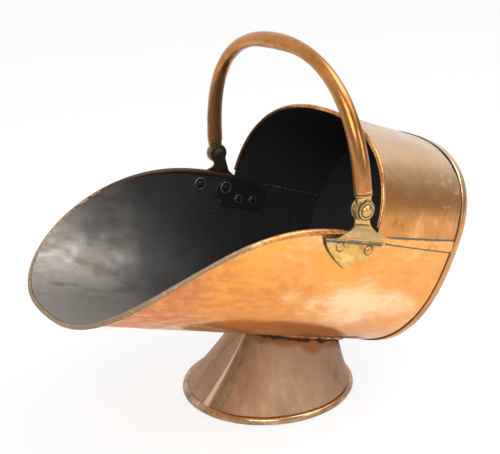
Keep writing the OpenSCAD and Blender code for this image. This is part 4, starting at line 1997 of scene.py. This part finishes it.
    def ear(self, bm: bmesh.types.BMesh, side: Side) -> None:
        """Builds the ear that the pivot pin goes through, and its neck.

        Args:
            bm: The mesh to add to.
            side: The hand of the bracket.
        """
        form = self.form
        steps = 36
        arc = [math.radians(-40 + 260 * step / steps) for step in range(steps + 1)]
        outline = [Vector((0, self.ear_r * math.cos(a), self.ear_r * math.sin(a))) for a in arc]
        front = ((-8.2, -9), (-8.4, -11.5), (-9.6, -14), (-8, -21.5))
        back = ((9.3, -22.5), (8.7, -18), (8.3, -14), (8.1, -10))
        outline += [Vector((0, y, z)) for y, z in front + back]
        corners = [bm.verts.new(point) for point in outline]
        face = bm.faces.new(corners)
        made = bmesh.ops.extrude_face_region(bm, geom=[face])["geom"]
        raised = only(bmesh.types.BMVert, made)
        bmesh.ops.translate(bm, vec=(self.thickness, 0, 0), verts=raised)
        own = set(corners) | set(raised)
        edges = [
            edge
            for edge in bm.edges
            if own.issuperset(edge.verts) and abs(edge.verts[0].co.x - edge.verts[1].co.x) < 0.1
        ]
        bmesh.ops.bevel(
            bm,
            geom=edges,
            offset=self.ear_bevel,
            offset_type="OFFSET",
            affect="EDGES",
            segments=3,
            profile=0.5,
            material=-1,
        )
        paint(bm, lambda vert: 1.0 if vert.co.x < 1.0 else 0.0, SOOT_AND_SHADE)
        turn = Matrix.Rotation(self.ear_lean, 3, "X")
        pivot = Vector((form.ear_x, form.pivot_y, form.pivot_h))
        for vert in bm.verts:
            vert.co = form.beside(side, *(turn @ vert.co + pivot))

    def build(self, side: Side) -> None:
        """Builds one bracket.

        Args:
            side: The hand of the bracket.
        """
        bm = new_mesh()
        self.ear(bm, side)
        part = new_mesh()
        self.plate(part, side)
        self.rivet_rings(part, side)
        joined = bpy.data.meshes.new("bracket_part")
        part.to_mesh(joined)
        part.free()
        bm.from_mesh(joined)
        bpy.data.meshes.remove(joined)
        face_out(bm)
        name, node = f"bracket_plate_{side.label}", f"bracket_{side.label}"
        Piece(name, bm, (Finish.BRASS,), Slot.BRASS, (node,), sharp=30).add()


@dataclass
class Bail:
    """The swinging handle and its eyes, in the bail's own frame."""

    form: BodyForm
    half_width: float = 144.1
    height: float = 148.0
    square: float = 2.44
    leg_d: float = 18.0
    grip_d: float = 17.4
    thin_d: float = 14.4
    grip_span: float = 27.0
    unevenness: float = 0.15
    lean: float = math.radians(1.1)
    leg_foot: float = 17.0
    sides: int = 28
    eye_x: float = 140.6
    eye_r: float = 11.25
    eye_w: float = 7.0
    bore_r: float = 3.4
    grooves_at: tuple[tuple[float, float], ...] = ((13.0, 14.2), (16.3, 17.5))

    def to_row(self, point: Vector) -> Vector:
        """Turns a point of the bail's frame in millimetres into the scene's frame in metres."""
        return self.form.pivot() + Matrix.Rotation(self.lean, 3, "X") @ (point * MM)

    def radius(self, angle: float) -> float:
        """Returns the bar's radius at an angle from the pivots: a swollen grip and stout legs.

        Args:
            angle: From 0 at the left pivot to pi at the right one.

        Returns:
            The radius.
        """
        away = abs(math.degrees(angle) - 90)
        if away < self.grip_span:
            swell = (1 + math.cos(math.pi * away / self.grip_span)) / 2
            return (self.thin_d + (self.grip_d - self.thin_d) * swell) / 2
        swell = (1 - math.cos(math.pi * (away - self.grip_span) / (90 - self.grip_span))) / 2
        return (self.thin_d + (self.leg_d - self.thin_d) * swell) / 2

    def bar(self) -> None:
        """Builds the hoop."""
        steps = 200
        start = math.asin(self.leg_foot / self.half_width)
        angles = [start + (math.pi - 2 * start) * step / steps for step in range(steps + 1)]
        path = []
        for angle in angles:
            r = BodyForm.reach(angle, self.square)
            x = self.half_width * r * math.cos(angle)
            path.append(self.to_row(Vector((x, 0, self.height * r * math.sin(angle)))))
        radii = [
            (self.radius(angle) - self.unevenness * abs(noise.noise(point * 45))) * MM
            for angle, point in zip(angles, path)
        ]
        bm = new_mesh()
        place = bar_place(path, radii, self.sides, Vector((0, 1, 0)))
        cap(bm, *loft(bm, self.sides, len(path), place))
        face_out(bm)
        # Painted shade on the hoop's inner side
        paint(bm, self.shaded, SOOT_AND_SHADE)
        look = (Finish.BAIL,)
        Piece("bail_hoop", bm, look, Slot.BAIL_COPPER, ("bail",), Body.BAIL, sharp=60).add()

    def shaded(self, vert: Any) -> float:
        """Returns painted shade on the hoop's inner side, most of all down its legs.

        Args:
            vert: The vertex.

        Returns:
            The mark's amount, held between 0 and 1 by paint.
        """
        middle = self.to_row(Vector((0, 0, 50)))
        inward = vert.normal.dot((middle - vert.co).normalized())
        height = (vert.co.z - middle.z) / MM
        legs = min(1.0, max(0.35, 1 - height / 90))
        return 0.85 * legs * held((inward + 0.5) / 1.2)

    def eye(self, side: Side) -> None:
        """Builds the eye at the foot of a leg: a turned boss, a flat tab and two mouldings.

        Args:
            side: The hand of the eye.
        """
        bm = new_mesh()
        boss = (
            (0.0, self.bore_r),
            (0.0, self.eye_r - 1.0),
            (0.35, self.eye_r - 0.3),
            (1.1, self.eye_r),
            (self.eye_w - 1.1, self.eye_r),
            (self.eye_w - 0.35, self.eye_r - 0.3),
            (self.eye_w, self.eye_r - 1.1),
            (self.eye_w, self.eye_r - 2.0),
            (self.eye_w - 0.5, self.eye_r - 2.5),
            (self.eye_w - 0.5, self.bore_r),
        )

        def put(point: Vector) -> Vector:
            """Puts a point of the boss on its side of the bail."""
            return self.to_row(Vector((side.value * (self.eye_x + point.x), point.y, point.z)))

        turn_part(bm, boss, put, closed=True)
        flat = self.eye_w / 2
        leg = self.leg_d / 2
        columns = 64
        # Height over the pivot, half width, half depth and how square the section is
        stub = (
            (5.0, flat, leg - 1.6, 5.0),
            (9.0, flat, leg - 0.8, 5.0),
            (12.6, flat, leg - 0.6, 4.0),
            (13.9, flat + 0.3, leg - 0.5, 3.2),
            (14.6, leg - 1.2, leg - 0.8, 2.0),
            (15.0, leg - 0.1, leg - 0.1, 2.0),
            (16.1, leg - 0.1, leg - 0.1, 2.0),
            (16.5, leg - 1.1, leg - 1.1, 2.0),
            (17.3, leg - 1.1, leg - 1.1, 2.0),
            (17.7, leg - 0.1, leg - 0.1, 2.0),
            (19.4, leg - 0.1, leg - 0.1, 2.0),
            (19.8, leg - 0.8, leg - 0.8, 2.0),
        )

        def drawn(row: int, column: int) -> Vector:
            """Returns a vertex's place on the stub, whose sections go from square to round.

            Args:
                row: Number of the ring.
                column: Number of the vertex in it.

            Returns:
                The place in the scene's frame.
            """
            z, wide, deep, square = stub[row]
            angle = 2 * math.pi * column / columns
            r = BodyForm.reach(angle, square)
            x = self.half_width + wide * r * math.cos(angle)
            return self.to_row(Vector((side.value * x, deep * r * math.sin(angle), z)))

        cap(bm, *loft(bm, columns, len(stub), drawn))
        face_out(bm)
        paint(bm, self.grooves)
        paint(bm, self.inner_side, SOOT_AND_SHADE)
        name, node = f"bail_boss_{side.label}", f"bail_eye_{side.label}"
        Piece(name, bm, (Finish.BRASS,), Slot.BRASS, (node,), Body.BAIL, sharp=35).add()

    def inner_side(self, vert: Any) -> float:
        """Returns how brown the eye is on the side that looks across the scuttle."""
        inwards = -vert.normal.x * math.copysign(1.0, vert.co.x)
        return 0.36 * min(1.0, (inwards + 0.3) / 0.5)

    def grooves(self, vert: Any) -> float:
        """Returns how crusted the eye is, in its grooves and round its boss.

        Args:
            vert: The vertex.

        Returns:
            The mark's amount, held between 0 and 1 by paint.
        """
        x, radius = self.form.around_pivot(vert.co)
        face = x > self.eye_x + self.eye_w - 0.8
        if radius < self.eye_r + 0.5:
            return 1.0 if face and radius < self.eye_r - 2.0 else 0.4
        height = (vert.co.z - self.form.pivot().z) / MM
        return 1.0 if any(low < height < high for low, high in self.grooves_at) else 0.0


@dataclass
class Pivots:
    """The pins that the bail swings on and their washers."""

    form: BodyForm
    washer_x: float = 148.0
    pin_r: float = 3.5
    groove_r: float = 6.6

    def put(self, side: Side) -> Callable[[Vector], Vector]:
        """Gives the placing of a part turned on a pivot's axis.

        Args:
            side: The hand of the pivot.

        Returns:
            A function from the lathe's frame to the scene's.
        """

        def place(point: Vector) -> Vector:
            """Puts a point of the lathe's frame on the pivot's axis."""
            y = point.y + self.form.pivot_y
            return self.form.beside(side, point.x, y, point.z + self.form.pivot_h)

        return place

    def pin(self, side: Side) -> None:
        """Turns a pin with its domed head outside and its riveted one inside.

        Args:
            side: The hand of the pin.
        """
        start = self.washer_x + 1
        ear = self.form.ear_x
        profile = (
            (start + 3.6, 0.5),
            (start + 3.5, 2.0),
            (start + 3.1, 3.4),
            (start + 2.3, 4.5),
            (start + 1.2, 5.4),
            (start + 0.5, 5.75),
            (start, 5.8),
            (start, self.pin_r),
            (ear, self.pin_r),
            (ear, 5.5),
            (ear - 0.7, 5.2),
            (ear - 1.5, 3.9),
            (ear - 1.9, 2.2),
            (ear - 2.0, 0.5),
        )
        bm = new_mesh()
        turn_part(bm, profile, self.put(side))
        face_out(bm)
        paint(bm, lambda vert: float(self.form.around_pivot(vert.co)[0] < ear + 0.2), SOOT_AND_SHADE)
        paint(bm, lambda vert: 1 - abs(self.form.around_pivot(vert.co)[0] - start) / 0.5)
        name, node = f"pin_{side.label}", f"pivot_pin_{side.label}"
        Piece(name, bm, (Finish.BRASS,), Slot.BRASS, (node,)).add()

    def washer(self, side: Side) -> None:
        """Turns a washer with a groove round it.

        Args:
            side: The hand of the washer.
        """
        x = self.washer_x
        profile = (
            (x, self.pin_r + 0.05),
            (x, 8.2),
            (x + 0.3, 8.5),
            (x + 0.8, 8.5),
            (x + 1.0, 8.2),
            (x + 1.0, 7.3),
            (x + 0.7, 7.0),
            (x + 0.7, 6.3),
            (x + 1.0, 6.0),
            (x + 1.0, self.pin_r + 0.05),
        )
        bm = new_mesh()
        turn_part(bm, profile, self.put(side), closed=True)
        face_out(bm)
        paint(bm, lambda vert: 1.6 - abs(self.form.around_pivot(vert.co)[1] - self.groove_r) / 0.45)
        name, node = f"washer_{side.label}", f"pivot_washer_{side.label}"
        Piece(name, bm, (Finish.BRASS,), Slot.BRASS, (node,), sharp=30).add()


@dataclass
class InnerRivets:
    """The burrs and the button heads inside the bowl, pale round their edges."""

    form: BodyForm
    button_spots: tuple[tuple[float, float], ...] = ((-11.5, 185), (8.5, 186.6))
    burr_r: float = 7.5
    button_r: float = 5.5
    plate: float = 1.5
    shank_end: float = 134.9

    def head(self, bm: bmesh.types.BMesh, spot: tuple[float, float], wall: float, radius: float,
             height: float, side: Side) -> None:
        """Turns one head with a raised edge and a hollow round its middle.

        Args:
            bm: The mesh to add to.
            spot: Its place along the body and its height.
            wall: Distance of the face it sits on from the body's middle.
            radius: Its radius.
            height: How far its middle stands in from that face.
            side: The hand of the bowl it is in.
        """
        profile = (
            (wall + 0.2, radius - 0.1),
            (wall - 0.7, radius),
            (wall - 1.25, radius - 0.5),
            (wall - 1.25, radius - 1.1),
            (wall - 0.8, radius - 1.7),
            (wall - 0.8, radius * 0.5),
            (wall - height * 0.8, radius * 0.38),
            (wall - height, 0.5),
        )

        def put(point: Vector) -> Vector:
            """Puts a point of the head in its spot."""
            return self.form.beside(side, point.x, point.y + spot[0], point.z + spot[1])

        def hollow(vert: Any) -> float:
            """Returns one in the hollow and nothing on the raised edge.

            Args:
                vert: The vertex.

            Returns:
                The mark's amount.
            """
            place = self.form.to_body(vert.co)
            away = math.hypot(place.y - spot[0], place.z - spot[1])
            return 1.0 if away < radius - 1.4 else 0.0

        before = set(bm.verts)
        turn_part(bm, profile, put)
        paint(bm, hollow, SOOT_AND_SHADE, set(bm.verts) - before)

    def build(self, side: Side) -> None:
        """Builds the burrs and the buttons of one side.

        Args:
            side: The hand of the bowl.
        """
        form = self.form
        burrs = new_mesh()
        for number, spot in enumerate(form.bracket_rivets):
            wall = form.side_x(*spot) - form.sheet - number * self.plate
            height = wall - self.shank_end + 0.25
            self.head(burrs, spot, wall, self.burr_r, height, side)
        buttons = new_mesh()
        for spot in self.button_spots:
            wall = form.side_x(*spot) - form.sheet - self.plate
            self.head(buttons, spot, wall, self.button_r, 1.8, side)
        for kind, bm in (("rivet_burrs", burrs), ("lap_rivets", buttons)):
            face_out(bm)
            node = f"{kind}_{side.label}"
            Piece(f"inner_{node}", bm, (Finish.TIN,), Slot.INSIDE, (node,), sharp=50).add()


@dataclass
class Hardware:
    """The headed and bent parts whose own solids stay: the brackets' rivets and the rear handle."""

    brackets: tuple[str, ...] = ("bracket_rivets_left", "bracket_rivets_right")
    back: tuple[str, ...] = ("rear_handle", "rear_handle_rivets")

    def dress(self) -> None:
        """Gives each part that stays its finish."""
        brass = Finish.BRASS.material
        for name in self.brackets + self.back:
            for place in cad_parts[name].material_slots:
                place.material = brass
            LOG.info("%s: refinished in %s", name, brass.name)


# ---------------------------------------------------------------- the studio


@dataclass
class Studio:
    """A pale floor, soft lamps and the camera at the photograph's angle."""

    place: tuple[float, float, float] = (0.87603, -0.53282, 0.53722)
    right: tuple[float, float, float] = (0.52181805, 0.85193211, -0.04379049)
    up: tuple[float, float, float] = (-0.25259264, 0.20333976, 0.94596506)
    back: tuple[float, float, float] = (0.81480236, -0.48256048, 0.32129814)
    lens: float = 72.0
    floor_size: float = 12.0
    walls: tuple[tuple[float, str], ...] = ((0.0, "#b2b2b4"), (0.32, "#cacacc"), (0.7, WHITE))
    bright_way: tuple[float, float, float] = (-0.9, 0.1, 0.9)
    floor_glow: float = 0.8
    mirrored_glow: float = 0.35

    def camera(self) -> None:
        """Sets the camera up."""
        data = bpy.data.cameras.new("camera")
        data.lens = self.lens
        data.sensor_width = 36.0
        data.sensor_fit = "HORIZONTAL"
        made = link("camera", data)
        axes = Matrix((self.right, self.up, self.back)).transposed().to_4x4()
        made.matrix_world = Matrix.Translation(self.place) @ axes
        bpy.context.scene.camera = made

    def floor(self) -> None:
        """Lays the floor."""
        bm = bmesh.new()
        bmesh.ops.create_grid(bm, x_segments=8, y_segments=8, size=self.floor_size / 2)
        mesh = bpy.data.meshes.new("floor")
        bm.to_mesh(mesh)
        bm.free()
        shader = Shader("matt_white_floor")
        grain = shader.span(shader.cloud(4.0), 0.3, 0.7, 0.86, 0.9)
        matt = {"Roughness": grain, "Specular_IOR_Level": 0.1}
        lit = shader.principled(Base_Color=linear("#f7f6f4"), **matt)
        ray = shader.add("ShaderNodeLightPath").outputs
        seen = shader.math("MULTIPLY", ray["Is Camera Ray"], self.floor_glow)
        mirrored = shader.math("MULTIPLY", ray["Is Glossy Ray"], self.mirrored_glow)
        share = shader.math("MAXIMUM", seen, mirrored)
        white = shader.add("ShaderNodeEmission", {"Color": linear(WHITE), "Strength": 1.0})
        both = shader.add("ShaderNodeMixShader", {0: share, 1: lit, 2: white.outputs[0]})
        mesh.materials.append(shader.close(both.outputs[0]))
        link("floor", mesh)

    def lamp(self, name: str, place: Sequence[float], aim: Sequence[float], size: float,
             power: float) -> None:
        """Hangs a softbox.

        Args:
            name: The lamp's name.
            place: Where it hangs.
            aim: The point it looks at.
            size: Length of its side.
            power: Its power in watts.
        """
        data = bpy.data.lights.new(name, "AREA")
        data.shape = "SQUARE"
        data.size = size
        data.energy = power
        made = link(name, data)
        look = Vector(aim) - Vector(place)
        turn = look.to_track_quat("-Z", "Y").to_matrix().to_4x4()
        made.matrix_world = Matrix.Translation(place) @ turn

    def lamps(self) -> None:
        """Hangs the key, the fill and the top light."""
        middle = (0.0, -0.05, 0.2)
        self.lamp("key", (1.5, -1.3, 1.6), middle, 1.2, 20.0)
        self.lamp("fill", (1.9, 0.9, 0.9), middle, 0.8, 5.0)
        self.lamp("top", (0.6, 1.0, 1.9), middle, 1.6, 26.0)

    def world(self) -> None:
        """Makes the air white overhead and behind, and a quiet grey on the camera's side."""
        world = bpy.data.worlds.new("air")
        world.use_nodes = True
        nodes = NodeTree(world.node_tree)
        look = nodes.add("ShaderNodeTexCoord").outputs["Generated"]
        ways = {0: look, 1: self.bright_way}
        share = nodes.add("ShaderNodeVectorMath", ways, operation="DOT_PRODUCT").outputs["Value"]
        ray = nodes.add("ShaderNodeLightPath").outputs["Is Camera Ray"]
        seen = nodes.mix(ray, nodes.ramp(share, self.walls), WHITE)
        light = nodes.add("ShaderNodeBackground", {"Color": seen})
        nodes.add("ShaderNodeOutputWorld", {"Surface": light.outputs[0]})
        bpy.context.scene.world = world

    def build(self) -> None:
        """Sets the whole studio up."""
        bpy.context.scene.view_settings.view_transform = "Standard"
        self.camera()
        self.floor()
        self.lamps()
        self.world()


def main() -> None:
    """Builds the studio and the scuttle."""
    logging.basicConfig(level=logging.INFO, format="%(name)s: %(message)s")
    Studio().build()
    form = BodyForm()
    shells = Shells(form)
    shells.bowl()
    shells.hood()
    edges = WiredEdges(form)
    edges.rim()
    edges.arch()
    BackPan(form).build()
    foot = Foot(form)
    foot.side()
    foot.bead()
    foot.collar()
    bail = Bail(form)
    bail.bar()
    pivots = Pivots(form)
    for side in Side:
        for pair in (SideStrips(form), LapPlates(form), Brackets(form)):
            pair.build(side)
        bail.eye(side)
        pivots.pin(side)
        pivots.washer(side)
        InnerRivets(form).build(side)
    Hardware().dress()


if __name__ == "__main__":
    main()
